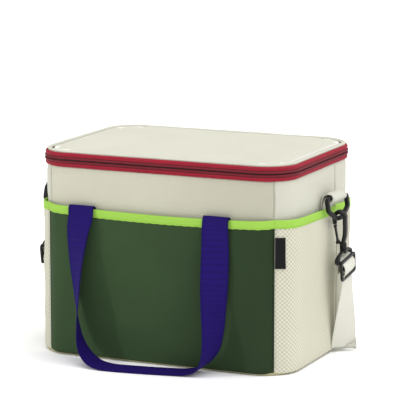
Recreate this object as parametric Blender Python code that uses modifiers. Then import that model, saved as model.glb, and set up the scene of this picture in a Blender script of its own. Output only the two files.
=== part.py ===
"""Insulated cooler bag with a zipped lid, two carrying handles, outer pockets and a hooked-on shoulder strap.

Metres, +Z up. The origin is the middle of the flat base, the front faces -Y and +X is to the right.
"""

import math

import bmesh
import bpy
from mathutils import Matrix, Vector

# Driving dimensions of the sewn body
BAG_WIDTH = 0.350
BAG_DEPTH = 0.247
CORNER_RADIUS = 0.042
BODY_TOP = 0.2513
LID_BOTTOM = 0.2680
LID_TOP = 0.2730
GAP = 0.0003

# Sheet thicknesses
COVER = 0.0012
FOAM = 0.0068
FOAM_END_GAP = 0.0015
LINER = 0.0008
TAPE = 0.0010
WEBBING = 0.0015
WEBBING_WIDTH = 0.036

# Build-up of the wall and of the base
FOAM_DEPTH = COVER + GAP
LINER_DEPTH = FOAM_DEPTH + FOAM + GAP
BASE_FOAM_BOTTOM = COVER + GAP
BASE_FOAM = 0.0060
BOARD_BOTTOM = BASE_FOAM_BOTTOM + BASE_FOAM + GAP
BOARD = 0.0015
LINER_BOTTOM = BOARD_BOTTOM + BOARD + GAP

# Seams, as distances along the outline from the middle of the front
SEAM_ANGLE = math.radians(36)
BACK_SEAM_Y = 0.050

# Pockets
POCKET_BOTTOM = 0.0062
POCKET_STAND_OFF = 0.0062
POCKET_END_STAND_OFF = 0.0022
POCKET_TOP_FRONT = 0.2015
POCKET_SAG = 0.0042
POCKET_TOP_BACK = 0.1915
BINDING_HEIGHT = 0.0123
BINDING = 0.0007

# Zip
ZIP_MIDDLE = 0.2597
ZIP_END_X = 0.120
TAPE_GROW = 0.0012
COIL_RADIUS = 0.0011
COIL_GROW = TAPE_GROW + TAPE + GAP + COIL_RADIUS
SLIDER_PARK_Y = 0.060
BRIDGE_OUT = 0.0050
BRIDGE_RADIUS = 0.0008

# Carrying handles
LEFT_LEG_X = -0.1055
RIGHT_LEG_X = 0.0850
HANDLE_PIVOT_Z = 0.2035
HANDLE_PIVOT_Y = BAG_DEPTH / 2 + 0.0111

# Shoulder strap hardware
RING_WIDTH = 0.056
RING_RADIUS = 0.0024
LEAN = math.radians(8)

# Colours as linear values
BEIGE = (0.72, 0.70, 0.60)
GREEN = (0.050, 0.088, 0.040)
LIME = (0.36, 0.62, 0.12)
RED = (0.36, 0.018, 0.030)
PURPLE = (0.030, 0.012, 0.130)
BLACK = (0.020, 0.020, 0.020)
SILVER = (0.62, 0.64, 0.66)
WHITE = (0.80, 0.80, 0.78)
COIL_BROWN = (0.045, 0.022, 0.022)

PARTS = bpy.data.collections.new("insulated_cooler_bag")
CUTTERS = bpy.data.collections.new("construction")


# Scene and materials

def clear_scene():
    """Starts from nothing, with one collection for the pieces and one for construction shapes."""
    for obj in list(bpy.data.objects):
        bpy.data.objects.remove(obj, do_unlink=True)
    for collection in (PARTS, CUTTERS):
        bpy.context.scene.collection.children.link(collection)


def finish_material(obj, colour, roughness, metallic=0.0):
    """Gives an object its own plain finish."""
    material = bpy.data.materials.new(obj.name + "_finish")
    material.use_nodes = True
    shader = material.node_tree.nodes["Principled BSDF"]
    shader.inputs["Base Color"].default_value = (*colour, 1.0)
    shader.inputs["Roughness"].default_value = roughness
    shader.inputs["Metallic"].default_value = metallic
    obj.data.materials.clear()
    obj.data.materials.append(material)
    return obj


def new_object(name, mesh, collection=PARTS):
    obj = bpy.data.objects.new(name, mesh)
    collection.objects.link(obj)
    return obj


def move_origin(obj, point):
    """Puts an object's origin on its joint's axis and leaves its shape where it is."""
    point = Vector(point)
    obj.data.transform(Matrix.Translation(-point))
    obj.location = point
    return obj


# Sheets: a grid of points with a thickness

def sheet(name, rows, thickness, offset=0.0, closed=False, floor_row=None):
    """A sheet through rows of points, thickened by Solidify. offset 1 keeps it outside the points, -1 inside.

    closed joins the last point of each row to its first. floor_row names a row that is filled in as a face.
    """
    bm = bmesh.new()
    grid = [[bm.verts.new(p) for p in row] for row in rows]
    count = len(rows[0])
    for low, high in zip(grid[:-1], grid[1:]):
        for i in range(count if closed else count - 1):
            j = (i + 1) % count
            bm.faces.new((low[i], low[j], high[j], high[i]))
    if floor_row is not None:
        bm.faces.new(reversed(grid[floor_row]) if floor_row == 0 else grid[floor_row])
    mesh = bpy.data.meshes.new(name)
    bm.to_mesh(mesh)
    bm.free()
    obj = new_object(name, mesh)
    solid = obj.modifiers.new("Thickness", "SOLIDIFY")
    solid.thickness = thickness
    solid.offset = offset
    solid.use_even_offset = True
    return obj


FLAT_X = BAG_WIDTH / 2 - CORNER_RADIUS
FLAT_Y = BAG_DEPTH / 2 - CORNER_RADIUS
ARC = CORNER_RADIUS * math.pi / 2
HALF_ROUND = 2 * FLAT_X + 2 * ARC + 2 * FLAT_Y
FRONT_SEAM = FLAT_X + CORNER_RADIUS * SEAM_ANGLE
BACK_SEAM = FLAT_X + ARC + FLAT_Y + BACK_SEAM_Y
ZIP_END = HALF_ROUND - ZIP_END_X


def outline_point(distance, grow=0.0):
    """Point of the outline at a distance from the middle of the front towards +X, and its outward normal."""
    half_x, half_y = BAG_WIDTH / 2, BAG_DEPTH / 2
    if distance > HALF_ROUND:
        distance -= 2 * HALF_ROUND
    side = -1 if distance < 0 else 1
    s = abs(distance)
    if s <= FLAT_X:
        point, normal = Vector((s, -half_y, 0)), Vector((0, -1, 0))
    elif s <= FLAT_X + ARC:
        turn = (s - FLAT_X) / CORNER_RADIUS
        normal = Vector((math.sin(turn), -math.cos(turn), 0))
        point = Vector((FLAT_X, -FLAT_Y, 0)) + normal * CORNER_RADIUS
    elif s <= FLAT_X + ARC + 2 * FLAT_Y:
        point, normal = Vector((half_x, s - FLAT_X - ARC - FLAT_Y, 0)), Vector((1, 0, 0))
    elif s <= FLAT_X + 2 * ARC + 2 * FLAT_Y:
        turn = (s - FLAT_X - ARC - 2 * FLAT_Y) / CORNER_RADIUS
        normal = Vector((math.cos(turn), math.sin(turn), 0))
        point = Vector((FLAT_X, FLAT_Y, 0)) + normal * CORNER_RADIUS
    else:
        point, normal = Vector((HALF_ROUND - s, half_y, 0)), Vector((0, 1, 0))
    point += normal * grow
    return Vector((side * point.x, point.y, 0)), Vector((side * normal.x, normal.y, 0))


def distances(start, end, arc_steps=6, flat_steps=1):
    """Distances from start to end that follow the outline: few on the flats, more round the corners."""
    marks = [start, end]
    for side in (-1, 1):
        for first in (FLAT_X, FLAT_X + ARC + 2 * FLAT_Y):
            marks += [side * (first + ARC * k / arc_steps) for k in range(arc_steps + 1)]
        side_start, side_end = FLAT_X + ARC, FLAT_X + ARC + 2 * FLAT_Y
        side_step = (side_end - side_start) / flat_steps
        marks += [side * (side_start + side_step * k) for k in range(1, flat_steps)]
    marks += [FLAT_X * (2 * k / flat_steps - 1) for k in range(1, flat_steps)]
    back_corner = 2 * HALF_ROUND - FLAT_X - 2 * ARC - 2 * FLAT_Y
    marks += [back_corner + ARC * k / arc_steps for k in range(arc_steps + 1)]
    marks += [HALF_ROUND + FLAT_X * (2 * k / flat_steps - 1) for k in range(1, flat_steps)]
    inside = sorted(m for m in marks if start - 1e-9 <= m <= end + 1e-9)
    kept = [start]
    for m in inside:
        if m - kept[-1] > 0.002:
            kept.append(m)
    kept[-1] = end
    return kept


def wall_row(spots, z, grow):
    """A wall's row: a point at each distance, pushed outwards by grow. grow and z may be functions."""
    push = grow if callable(grow) else (lambda s: grow)
    return [outline_point(s, push(s))[0] + Vector((0, 0, z(s) if callable(z) else z)) for s in spots]


def wall(name, start, end, bottom, top, depth, thickness, arc_steps=6):
    """An upright sheet along the outline, its outer face at depth inside the outline."""
    spots = distances(start, end, arc_steps)
    rows = [wall_row(spots, z, -depth) for z in (bottom, top)]
    return sheet(name, rows, thickness, offset=-1.0)


def closed_outline(grow, arc_steps=6):
    """The whole outline once round, without a repeated point."""
    spots = distances(-HALF_ROUND, HALF_ROUND, arc_steps)[:-1]
    return [outline_point(s, grow)[0] for s in spots]


def slab(name, grow, bottom, thickness, arc_steps=6):
    """A flat plate with the bag's outline: a filled 2D curve with an extrude of half its thickness."""
    curve = bpy.data.curves.new(name, "CURVE")
    curve.dimensions = "2D"
    curve.fill_mode = "BOTH"
    curve.extrude = thickness / 2
    points = closed_outline(grow, arc_steps)
    spline = curve.splines.new("POLY")
    spline.points.add(len(points) - 1)
    for target, p in zip(spline.points, points):
        target.co = (p.x, p.y, 0, 1)
    spline.use_cyclic_u = True
    obj = new_object(name, curve)
    obj.location.z = bottom + thickness / 2
    return obj


def tube(name, points, radius, cyclic=False, resolution=2, collection=PARTS):
    """A round tube along points, as a curve with a bevel depth."""
    curve = bpy.data.curves.new(name, "CURVE")
    curve.dimensions = "3D"
    curve.bevel_depth = radius
    curve.bevel_resolution = resolution
    curve.use_fill_caps = not cyclic
    spline = curve.splines.new("POLY")
    spline.points.add(len(points) - 1)
    for target, p in zip(spline.points, points):
        target.co = (*p, 1)
    spline.use_cyclic_u = cyclic
    return new_object(name, curve, collection)


def to_mesh_object(obj):
    """Replaces a curve object by a welded mesh object of the same name."""
    bpy.context.view_layer.update()
    evaluated = obj.evaluated_get(bpy.context.evaluated_depsgraph_get())
    mesh = bpy.data.meshes.new_from_object(evaluated)
    bm = bmesh.new()
    bm.from_mesh(mesh)
    bmesh.ops.remove_doubles(bm, verts=bm.verts, dist=0.00001)
    bm.to_mesh(mesh)
    bm.free()
    name, collection, matrix = obj.name, obj.users_collection[0], obj.matrix_world.copy()
    bpy.data.objects.remove(obj, do_unlink=True)
    made = new_object(name, mesh, collection)
    made.matrix_world = matrix
    return made


def cylinder(name, radius, start, end, segments=16, collection=PARTS):
    """A solid round bar from start to end."""
    start, end = Vector(start), Vector(end)
    axis = end - start
    bm = bmesh.new()
    bmesh.ops.create_cone(
        bm, cap_ends=True, segments=segments, radius1=radius, radius2=radius, depth=axis.length
    )
    mesh = bpy.data.meshes.new(name)
    bm.to_mesh(mesh)
    bm.free()
    turn = Vector((0, 0, 1)).rotation_difference(axis).to_matrix().to_4x4()
    mesh.transform(Matrix.Translation((start + end) / 2) @ turn)
    return new_object(name, mesh, collection)


def block(name, low, high, collection=PARTS):
    """A box between two corners."""
    low, high = Vector(low), Vector(high)
    bm = bmesh.new()
    bmesh.ops.create_cube(bm, size=1.0)
    bmesh.ops.scale(bm, vec=high - low, verts=bm.verts)
    bmesh.ops.translate(bm, vec=(low + high) / 2, verts=bm.verts)
    mesh = bpy.data.meshes.new(name)
    bm.to_mesh(mesh)
    bm.free()
    return new_object(name, mesh, collection)


def boolean(obj, other, operation):
    """Joins or cuts with another object, which moves to the construction collection."""
    if other.name in PARTS.objects:
        PARTS.objects.unlink(other)
        CUTTERS.objects.link(other)
    other.hide_render = True
    other.display_type = "WIRE"
    step = obj.modifiers.new(operation.title(), "BOOLEAN")
    step.operation = operation
    step.object = other
    return obj


def bevel(obj, width, segments=2):
    step = obj.modifiers.new("Edges", "BEVEL")
    step.width = width
    step.segments = segments
    step.limit_method = "ANGLE"
    return obj


# Ribbons: flat webbing that bends and twists

def smooth_values(values, steps):
    """Points of a Catmull-Rom curve through the given vectors, steps to each stretch."""
    found = []
    for i in range(len(values) - 1):
        a, b, c, d = (values[max(0, min(len(values) - 1, i + k))] for k in (-1, 0, 1, 2))
        for k in range(steps):
            t = k / steps
            found.append(
                0.5 * (2 * b + (c - a) * t + (2 * a - 5 * b + 4 * c - d) * t * t
                       + (3 * b - a - 3 * c + d) * t ** 3)
            )
    found.append(values[-1].copy())
    return found


def ribbon(name, stations, steps=3, width=WEBBING_WIDTH, thickness=WEBBING):
    """Flat webbing through stations of (centre, direction across its width), which the floor holds up."""
    centres = smooth_values([Vector(c) for c, _ in stations], steps)
    directions = smooth_values([Vector(a).normalized() for _, a in stations], steps)
    half = width / 2
    rows = []
    for centre, direction in zip(centres, directions):
        direction.normalize()
        centre.z = max(centre.z, half * abs(direction.z) + thickness / 2 + GAP)
        rows.append([centre - direction * half, centre + direction * half])
    return sheet(name, rows, thickness)


# The sewn body

PANEL_SPANS = {
    "front": (-FRONT_SEAM, FRONT_SEAM),
    "right": (FRONT_SEAM, BACK_SEAM),
    "back": (BACK_SEAM, 2 * HALF_ROUND - BACK_SEAM),
    "left": (-BACK_SEAM, -FRONT_SEAM),
}


def wall_layer(kind, bottom, top, depth, thickness, end_gap, colour, roughness):
    """The four panels of one layer of the wall."""
    for place, (start, end) in PANEL_SPANS.items():
        name = f"{place}_{kind}"
        panel = wall(name, start + end_gap, end - end_gap, bottom, top, depth, thickness)
        finish_material(panel, colour, roughness)


def base_layers():
    """Base cover, foam and stiffening board."""
    finish_material(slab("base_panel", -GAP, 0.0, COVER), BEIGE, 0.8)
    foam = slab("base_foam", -LINER_DEPTH, BASE_FOAM_BOTTOM, BASE_FOAM)
    finish_material(foam, WHITE, 0.9)
    board = slab("base_board", -LINER_DEPTH, BOARD_BOTTOM, BOARD)
    finish_material(board, BLACK, 0.5)


def inner_liner():
    """Open-topped tub that lines the compartment."""
    rows = []
    for z in (LINER_BOTTOM, BODY_TOP):
        rows.append([p + Vector((0, 0, z)) for p in closed_outline(-LINER_DEPTH)])
    liner = sheet("inner_liner", rows, LINER, offset=-1.0, closed=True, floor_row=0)
    finish_material(liner, SILVER, 0.35, 0.4)


def bottom_piping():
    """Corded seam round the foot of the walls."""
    radius = 0.0021
    points = [p + Vector((0, 0, radius + GAP)) for p in closed_outline(radius + GAP)]
    finish_material(tube("bottom_piping", points, radius, cyclic=True, resolution=1), BEIGE, 0.8)


def pocket_top(distance):
    """Height of a pocket's edge: sagging a little in the middle of the front and falling towards the back."""
    s = min(abs(distance), 2 * HALF_ROUND - abs(distance))
    fall = POCKET_TOP_FRONT - POCKET_TOP_BACK
    if s <= FRONT_SEAM:
        return POCKET_TOP_FRONT - POCKET_SAG * (1 - (s / FRONT_SEAM) ** 2)
    if s <= BACK_SEAM:
        return POCKET_TOP_FRONT - fall * min(1.0, 1.3 * (s - FRONT_SEAM) / (BACK_SEAM - FRONT_SEAM))
    rise = min(1.0, (s - BACK_SEAM) / (HALF_ROUND - FLAT_X - BACK_SEAM))
    return POCKET_TOP_BACK + fall * rise * rise * (3 - 2 * rise)


def pocket_grow(start, end):
    """How far a pocket's inner face stands off the wall: little at its seams, more between them."""
    ease = 0.016

    def grow(distance):
        edge = min(abs(distance - start), abs(distance - end))
        t = min(1.0, edge / ease)
        t = t * t * (3 - 2 * t)
        return POCKET_END_STAND_OFF + (POCKET_STAND_OFF - POCKET_END_STAND_OFF) * t

    return grow


def pocket_spots(start, end):
    spots = distances(start, end, arc_steps=6, flat_steps=4)
    ends = [start + 0.010, start + 0.020, end - 0.020, end - 0.010]
    merged = sorted(spots + ends)
    kept = [merged[0]]
    for s in merged[1:]:
        if s - kept[-1] > 0.004:
            kept.append(s)
    kept[-1] = end
    return kept


def pocket(name, start, end, colour):
    """Patch pocket: an upright face and a turned-in bottom."""
    cloth = 0.0008
    grow = pocket_grow(start, end)
    spots = pocket_spots(start + GAP * 2, end - GAP * 2)
    rows = [
        wall_row(spots, POCKET_BOTTOM, GAP),
        wall_row(spots, POCKET_BOTTOM, grow),
        wall_row(spots, lambda s: pocket_top(s) - GAP - BINDING, grow),
    ]
    finish_material(sheet(name, rows, cloth, offset=1.0), colour, 0.85)
    return cloth, grow, spots


def binding(name, cloth, grow, spots):
    """Folded tape over a pocket's edge: inner leaf, fold and outer leaf."""
    inner = lambda s: grow(s) - GAP
    outer = lambda s: grow(s) + cloth + GAP
    foot = lambda s: pocket_top(s) - BINDING_HEIGHT
    fold = lambda s: pocket_top(s) - BINDING
    rows = [
        wall_row(spots, foot, inner),
        wall_row(spots, fold, inner),
        wall_row(spots, fold, outer),
        wall_row(spots, foot, outer),
    ]
    tape = sheet(name, rows, BINDING, offset=-1.0)
    finish_material(tape, LIME, 0.75)


def pockets():
    """The pockets on the front, the sides and the back, each with its bound edge."""
    spans = {
        "front_pocket": (-FRONT_SEAM, FRONT_SEAM, GREEN),
        "right_pocket": (FRONT_SEAM, BACK_SEAM, BEIGE),
        "left_pocket": (-BACK_SEAM, -FRONT_SEAM, BEIGE),
        "back_pocket": (BACK_SEAM, 2 * HALF_ROUND - BACK_SEAM, BEIGE),
    }
    for name, (start, end, colour) in spans.items():
        cloth, grow, spots = pocket(name, start, end, colour)
        binding(name + "_binding", cloth, grow, spots)


def side_label():
    """Blank sewn-in tag beside the front right seam."""
    start = FRONT_SEAM + 0.004
    grow = pocket_grow(FRONT_SEAM, BACK_SEAM)
    spots = [start + 0.0155 * k / 3 for k in range(4)]
    rows = [wall_row(spots, z, lambda s: grow(s) + 0.0014) for z in (0.143, 0.185)]
    finish_material(sheet("side_label", rows, 0.0006, offset=1.0), BLACK, 0.8)


# Lid and zip

def lid():
    """Lid cover, foam, lining and the corded seam round its top."""
    tray = [closed_outline(-0.0004)]
    rows = [[p + Vector((0, 0, z)) for p in tray[0]] for z in (LID_TOP - COVER, LID_BOTTOM)]
    cover = sheet("lid_cover", rows, COVER, offset=-1.0, closed=True, floor_row=0)
    for polygon in cover.data.polygons:
        polygon.flip()
    finish_material(cover, BEIGE, 0.8)
    foam_top = LID_TOP - 2 * COVER - GAP
    foam_bottom = ZIP_MIDDLE + 0.0030
    foam = slab("lid_foam", -LINER_DEPTH, foam_bottom, foam_top - foam_bottom)
    finish_material(foam, WHITE, 0.9)
    lining = slab("lid_lining", -LINER_DEPTH, foam_bottom - GAP - LINER, LINER)
    finish_material(lining, SILVER, 0.35, 0.4)
    radius = 0.0014
    ring = [p + Vector((0, 0, LID_TOP - radius)) for p in closed_outline(radius + GAP)]
    finish_material(tube("lid_piping", ring, radius, cyclic=True, resolution=1), BEIGE, 0.8)


def zip_tapes():
    """The zip's two tapes and two rows of coil, which stop short of each other behind the bag."""
    spots = distances(-ZIP_END, ZIP_END)
    bands = {
        "zip_tape_body": (BODY_TOP + GAP, ZIP_MIDDLE - GAP),
        "zip_tape_lid": (ZIP_MIDDLE + GAP, LID_BOTTOM - GAP),
    }
    for name, (bottom, top) in bands.items():
        rows = [wall_row(spots, z, TAPE_GROW) for z in (bottom, top)]
        finish_material(sheet(name, rows, TAPE, offset=1.0), RED, 0.8)
    for name, side in (("zip_coil_body", -1), ("zip_coil_lid", 1)):
        z = ZIP_MIDDLE + side * (COIL_RADIUS + GAP / 2)
        points = wall_row(spots, z, COIL_GROW)
        finish_material(tube(name, points, COIL_RADIUS, resolution=1), COIL_BROWN, 0.5)


def lid_hinge():
    """Cloth hinge behind the bag, in two halves that meet on the hinge line."""
    inset = 0.004
    for name, bottom, top in (
        ("hinge_cloth_body", BODY_TOP - 0.022, ZIP_MIDDLE - GAP),
        ("hinge_cloth_lid", ZIP_MIDDLE + GAP, LID_TOP - 0.0034),
    ):
        spots = [ZIP_END + inset, HALF_ROUND]
        rows = [
            wall_row(spots, z, GAP) + [outline_point(-ZIP_END - inset, GAP)[0] + Vector((0, 0, z))]
            for z in (bottom, top)
        ]
        finish_material(sheet(name, rows, COVER, offset=1.0), BEIGE, 0.8)


def zip_slider():
    """Slider body with its bridge, parked on the left side, and the pull that hangs from the bridge."""
    x = -(BAG_WIDTH / 2 + COIL_GROW + COIL_RADIUS + GAP)
    y, z = SLIDER_PARK_Y, ZIP_MIDDLE
    half_length, half_height, plate = 0.0060, 0.0045, 0.0018
    low = (x - plate, y - half_length, z - half_height)
    body = block("zip_slider", low, (x, y + half_length, z + half_height))
    bevel(body, 0.0005)
    bar_x = x - BRIDGE_OUT
    bridge = [
        (x - plate / 2, y + 0.0050, z), (bar_x, y + 0.0048, z), (bar_x, y - 0.0048, z), (x - plate / 2, y - 0.0050, z),
    ]
    boolean(body, to_mesh_object(tube("slider_bridge", bridge, BRIDGE_RADIUS, resolution=1)), "UNION")
    finish_material(move_origin(body, (x, y, z)), SILVER, 0.35, 1.0)

    ring_radius, wire = 0.0018, 0.0006
    ring = [
        (bar_x + ring_radius * math.cos(turn), y, z + ring_radius * math.sin(turn))
        for turn in (math.radians(30 * k) for k in range(12))
    ]
    pull = to_mesh_object(tube("zip_pull", ring, wire, cyclic=True, resolution=1))
    stem_top, leaf_top, leaf_bottom = z - ring_radius, z - 0.0090, z - 0.0270
    stem_low = (bar_x - 0.0006, y - 0.0011, leaf_top - 0.0010)
    stem = block("pull_stem", stem_low, (bar_x + 0.0006, y + 0.0011, stem_top))
    leaf_low = (bar_x - 0.0005, y - 0.0034, leaf_bottom)
    leaf = block("pull_leaf", leaf_low, (bar_x + 0.0005, y + 0.0034, leaf_top))
    boolean(pull, stem, "UNION")
    boolean(pull, leaf, "UNION")
    finish_material(move_origin(pull, (bar_x, y, z)), SILVER, 0.35, 1.0)


# Carrying handles

def across(angle, rise=0.0):
    """Direction across a ribbon, turned by an angle in degrees from +X."""
    turn = math.radians(angle)
    return (math.cos(turn), math.sin(turn), rise)


def front_handle_stations():
    """The front handle's webbing: over the pocket's edge, down, along the floor and up again.

    The legs turn a quarter on their way down, so that the bottom of the loop lies flat.
    """
    top = HANDLE_PIVOT_Z - GAP
    return [
        ((LEFT_LEG_X, -HANDLE_PIVOT_Y, top), across(0)),
        ((LEFT_LEG_X, -HANDLE_PIVOT_Y - 0.0008, top - 0.0120), across(-2)),
        ((-0.1085, -0.1378, 0.168), across(-14)),
        ((-0.1090, -0.1420, 0.132), across(-35)),
        ((-0.1058, -0.1480, 0.094), across(-52)),
        ((-0.1010, -0.1545, 0.053), across(-66)),
        ((-0.0925, -0.1600, 0.0250), across(-78)),
        ((-0.0760, -0.1655, 0.0075), across(-88)),
        ((-0.0530, -0.1690, 0.0016), across(-89)),
        ((-0.0140, -0.1655, 0.0012), across(-86)),
        ((0.0250, -0.1590, 0.0012), across(-82)),
        ((0.0530, -0.1540, 0.0025), across(-82)),
        ((0.0740, -0.1530, 0.0100), across(-88)),
        ((0.0865, -0.1540, 0.0300), across(-105)),
        ((0.0900, -0.1530, 0.056), across(-117)),
        ((0.0895, -0.1500, 0.082), across(-128)),
        ((0.0885, -0.1460, 0.111), across(-145)),
        ((0.0868, -0.1390, 0.153), across(-166)),
        ((RIGHT_LEG_X, -HANDLE_PIVOT_Y - 0.0008, top - 0.0120), across(-178)),
        ((RIGHT_LEG_X, -HANDLE_PIVOT_Y, top), across(-180)),
    ]


def handle_end_stations(x, side):
    """A handle's sewn end: up the panel and over the pocket's edge, to just above the moving webbing."""
    wall_y = BAG_DEPTH / 2
    profile = [
        (wall_y + GAP + WEBBING / 2, 0.1500), (wall_y + GAP + WEBBING / 2, 0.1940), (wall_y + 0.0018, 0.2035),
        (wall_y + 0.0040, 0.2062), (wall_y + 0.0068, 0.2068), (wall_y + 0.0092, 0.2057),
    ]
    return [((x, side * y, z), (1, 0, 0)) for y, z in profile]


def turned(stations):
    """Stations turned half a turn about the bag's upright middle line."""
    return [((-c[0], -c[1], c[2]), (-a[0], -a[1], a[2])) for c, a in stations]


def handles():
    """Both carrying handles, and the ends that are sewn to the panels behind the pockets."""
    front = front_handle_stations()
    for name, stations, side in (("front_handle", front, -1), ("back_handle", turned(front), 1)):
        handle = ribbon(name, stations, steps=2)
        finish_material(move_origin(handle, (0, side * HANDLE_PIVOT_Y, HANDLE_PIVOT_Z)), PURPLE, 0.8)
    for side, place in ((-1, "front"), (1, "back")):
        for label, x in (("left", LEFT_LEG_X), ("right", RIGHT_LEG_X)):
            stations = handle_end_stations(-side * x, side)
            end = ribbon(f"{place}_handle_end_{label}", stations, steps=2)
            finish_material(end, PURPLE, 0.8)


# Shoulder strap hardware, made on the right and mirrored for the left

class StrapEnd:
    """One end of the shoulder strap: side is 1 or -1 for right or left, y is the middle of its tab."""

    bar = Vector((0.1915, 0, 0.2125))
    ring_foot = Vector((0.1960, 0, 0.1845))
    eye = Vector((0.1965, 0, 0.1852))
    shank_x = 0.1995
    loop_z = 0.1290
    layer_out = 0.0020 + GAP + WEBBING / 2

    def __init__(self, side, y, yaw, label):
        self.side, self.y, self.yaw, self.label = side, y, yaw, label

    def name(self, piece):
        return f"{piece}_{self.label}"

    def place(self, x, y, z):
        """A point of the hanging hardware, which leans back towards its foot."""
        drop = z - self.ring_foot.z
        leaned = Vector((
            x,
            y * math.cos(LEAN) - drop * math.sin(LEAN),
            self.ring_foot.z + y * math.sin(LEAN) + drop * math.cos(LEAN),
        ))
        return Vector((self.side * leaned.x, self.y + leaned.y, leaned.z))

    def turn(self, x, y, z):
        """A point of the ring or tab, which are turned a little about the upright."""
        dx = x - self.bar.x
        return Vector((
            self.side * (self.bar.x + dx * math.cos(self.yaw) + y * math.sin(self.yaw)),
            self.y + y * math.cos(self.yaw) - dx * math.sin(self.yaw),
            z,
        ))

    def tab(self):
        """Webbing tab that rises behind the pocket's edge and rolls round the ring's bar."""
        roll = RING_RADIUS + 0.0016 + WEBBING / 2
        profile = [
            (0.1764, 0.1720), (0.1764, 0.2000), (0.1775, 0.2080), (0.1805, 0.2145),
            (self.bar.x - 0.0048, self.bar.z + 0.0045),
        ]
        for k in range(5):
            angle = math.radians(100 - 52 * k)
            profile.append((self.bar.x + roll * math.cos(angle), self.bar.z + roll * math.sin(angle)))
        profile += [
            (self.bar.x - 0.0068, self.bar.z - 0.0002), (0.1800, 0.2040), (0.1788, 0.1960), (0.1787, 0.1850),
        ]
        rows = []
        for x, z in profile:
            share = min(1.0, max(0.0, (x - 0.1775) / (self.bar.x - 0.1775)))
            row = []
            for v in (-0.5, 0, 0.5):
                y = v * 0.036
                straight = Vector((self.side * x, self.y + y, z))
                row.append(straight.lerp(self.turn(x, y, z), share))
            rows.append(row)
        finish_material(sheet(self.name("ring_tab"), rows, WEBBING), BEIGE, 0.8)

    def ring(self):
        """Six-sided ring: its straight bar lies in the tab."""
        half, foot = RING_WIDTH / 2 - RING_RADIUS, 0.0070
        top, low = self.bar.z, self.ring_foot.z
        fall = top - low
        corners = [
            (-half, top), (half, top), (half, top - 0.58 * fall), (foot, low), (-foot, low),
            (-half, top - 0.58 * fall),
        ]
        points = []
        for i, (y, z) in enumerate(corners):
            before, after = corners[i - 1], corners[(i + 1) % 6]
            for (oy, oz), share in ((before, 0.16), (after, 0.16)):
                py, pz = y + (oy - y) * share, z + (oz - z) * share
                x = self.bar.x + (self.ring_foot.x - self.bar.x) * (top - pz) / fall
                points.append(self.turn(x, py, pz))
        ring = to_mesh_object(tube(self.name("strap_ring"), points, RING_RADIUS, cyclic=True, resolution=2))
        finish_material(move_origin(ring, self.turn(self.bar.x, 0, self.bar.z)), BLACK, 0.4)

    def hook(self):
        """Snap hook: collar, back leg, eye and nose, with a gap that the gate closes."""
        radius = 0.0064
        leg = ((self.shank_x, 0.1475), (0.2020, 0.1580), (0.2029, 0.1680))
        points = [self.place(x, 0, z) for x, z in leg]
        for k in range(9):
            angle = math.radians(180 * k / 8)
            points.append(self.place(
                self.eye.x + radius * math.cos(angle), 0, self.eye.z + radius * math.sin(angle)
            ))
        points.append(self.place(self.eye.x - radius, 0, 0.1770))
        hook = to_mesh_object(tube(self.name("snap_hook"), points, 0.0028, resolution=2))
        collar_foot, collar_top = self.place(self.shank_x, 0, 0.1420), self.place(self.shank_x, 0, 0.1515)
        collar = cylinder("collar_shape", 0.0046, collar_foot, collar_top, 14)
        boolean(hook, collar, "UNION")
        ear = block("ear_shape", (0, 0, 0), (0.0052, 0.0040, 0.0040))
        ear_corner = self.place(self.shank_x - 0.0040, 0, 0.1490) - Vector((0.0026, 0.0020, 0.0020))
        ear.data.transform(Matrix.Translation(ear_corner))
        boolean(hook, ear, "UNION")
        bore = cylinder(
            "bore_shape", 0.0024, self.place(self.shank_x, 0, 0.1400), self.place(self.shank_x, 0, 0.1462), 12
        )
        boolean(hook, bore, "DIFFERENCE")
        finish_material(move_origin(hook, self.place(self.shank_x, 0, 0.1450)), BLACK, 0.4)

    def gate(self):
        """Springy lever that closes the hook's mouth."""
        foot, tip = self.place(0.1921, 0, 0.1528), self.place(0.1901, 0, 0.1735)
        points = [foot, foot.lerp(tip, 0.5), tip]
        lever = to_mesh_object(tube(self.name("hook_gate"), points, 0.0018, resolution=2))
        finish_material(move_origin(lever, foot), BLACK, 0.4)

    def swivel(self):
        """Swivel foot of the hook: a pin, a boss and the loop that holds the webbing."""
        half, radius = 0.0225, 0.0020
        z = self.loop_z
        corners = [
            (-0.0050, 0.1385), (0.0050, 0.1385), (0.0160, 0.1372), (half, 0.1330), (half, z + 0.0010),
            (half - 0.0015, z), (-half + 0.0015, z), (-half, z + 0.0010), (-half, 0.1330), (-0.0160, 0.1372),
        ]
        points = [self.place(self.shank_x, y, height) for y, height in corners]
        loop = to_mesh_object(tube(self.name("swivel_loop"), points, radius, cyclic=True, resolution=2))
        boss = cylinder(
            "boss_shape", 0.0046, self.place(self.shank_x, 0, 0.1370), self.place(self.shank_x, 0, 0.1416), 14
        )
        boolean(loop, boss, "UNION")
        pin = cylinder(
            "pin_shape", 0.0020, self.place(self.shank_x, 0, 0.1390), self.place(self.shank_x, 0, 0.1457), 12
        )
        boolean(loop, pin, "UNION")
        finish_material(loop, BLACK, 0.4)

    def outer_layer(self):
        return self.shank_x + self.layer_out

    def slider(self):
        """Three-bar slider: a frame with two windows and the middle bar between them."""
        x = self.outer_layer() + WEBBING / 2 + GAP
        thick, half_y, low, high = 0.0026, 0.0255, 0.1045, 0.1315
        middle = (low + high) / 2
        frame = block(self.name("strap_slider"), (x, -half_y, low), (x + thick, half_y, high))
        bevel(frame, 0.0007, 1)
        for window_low, window_high in ((low + 0.0042, middle - 0.0020), (middle + 0.0020, high - 0.0042)):
            window = block("window_shape", (x - 0.01, -0.0206, window_low), (x + 0.01, 0.0206, window_high))
            boolean(frame, window, "DIFFERENCE")
            self.lay_down(window)
        self.lay_down(frame)
        finish_material(frame, BLACK, 0.4)

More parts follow.
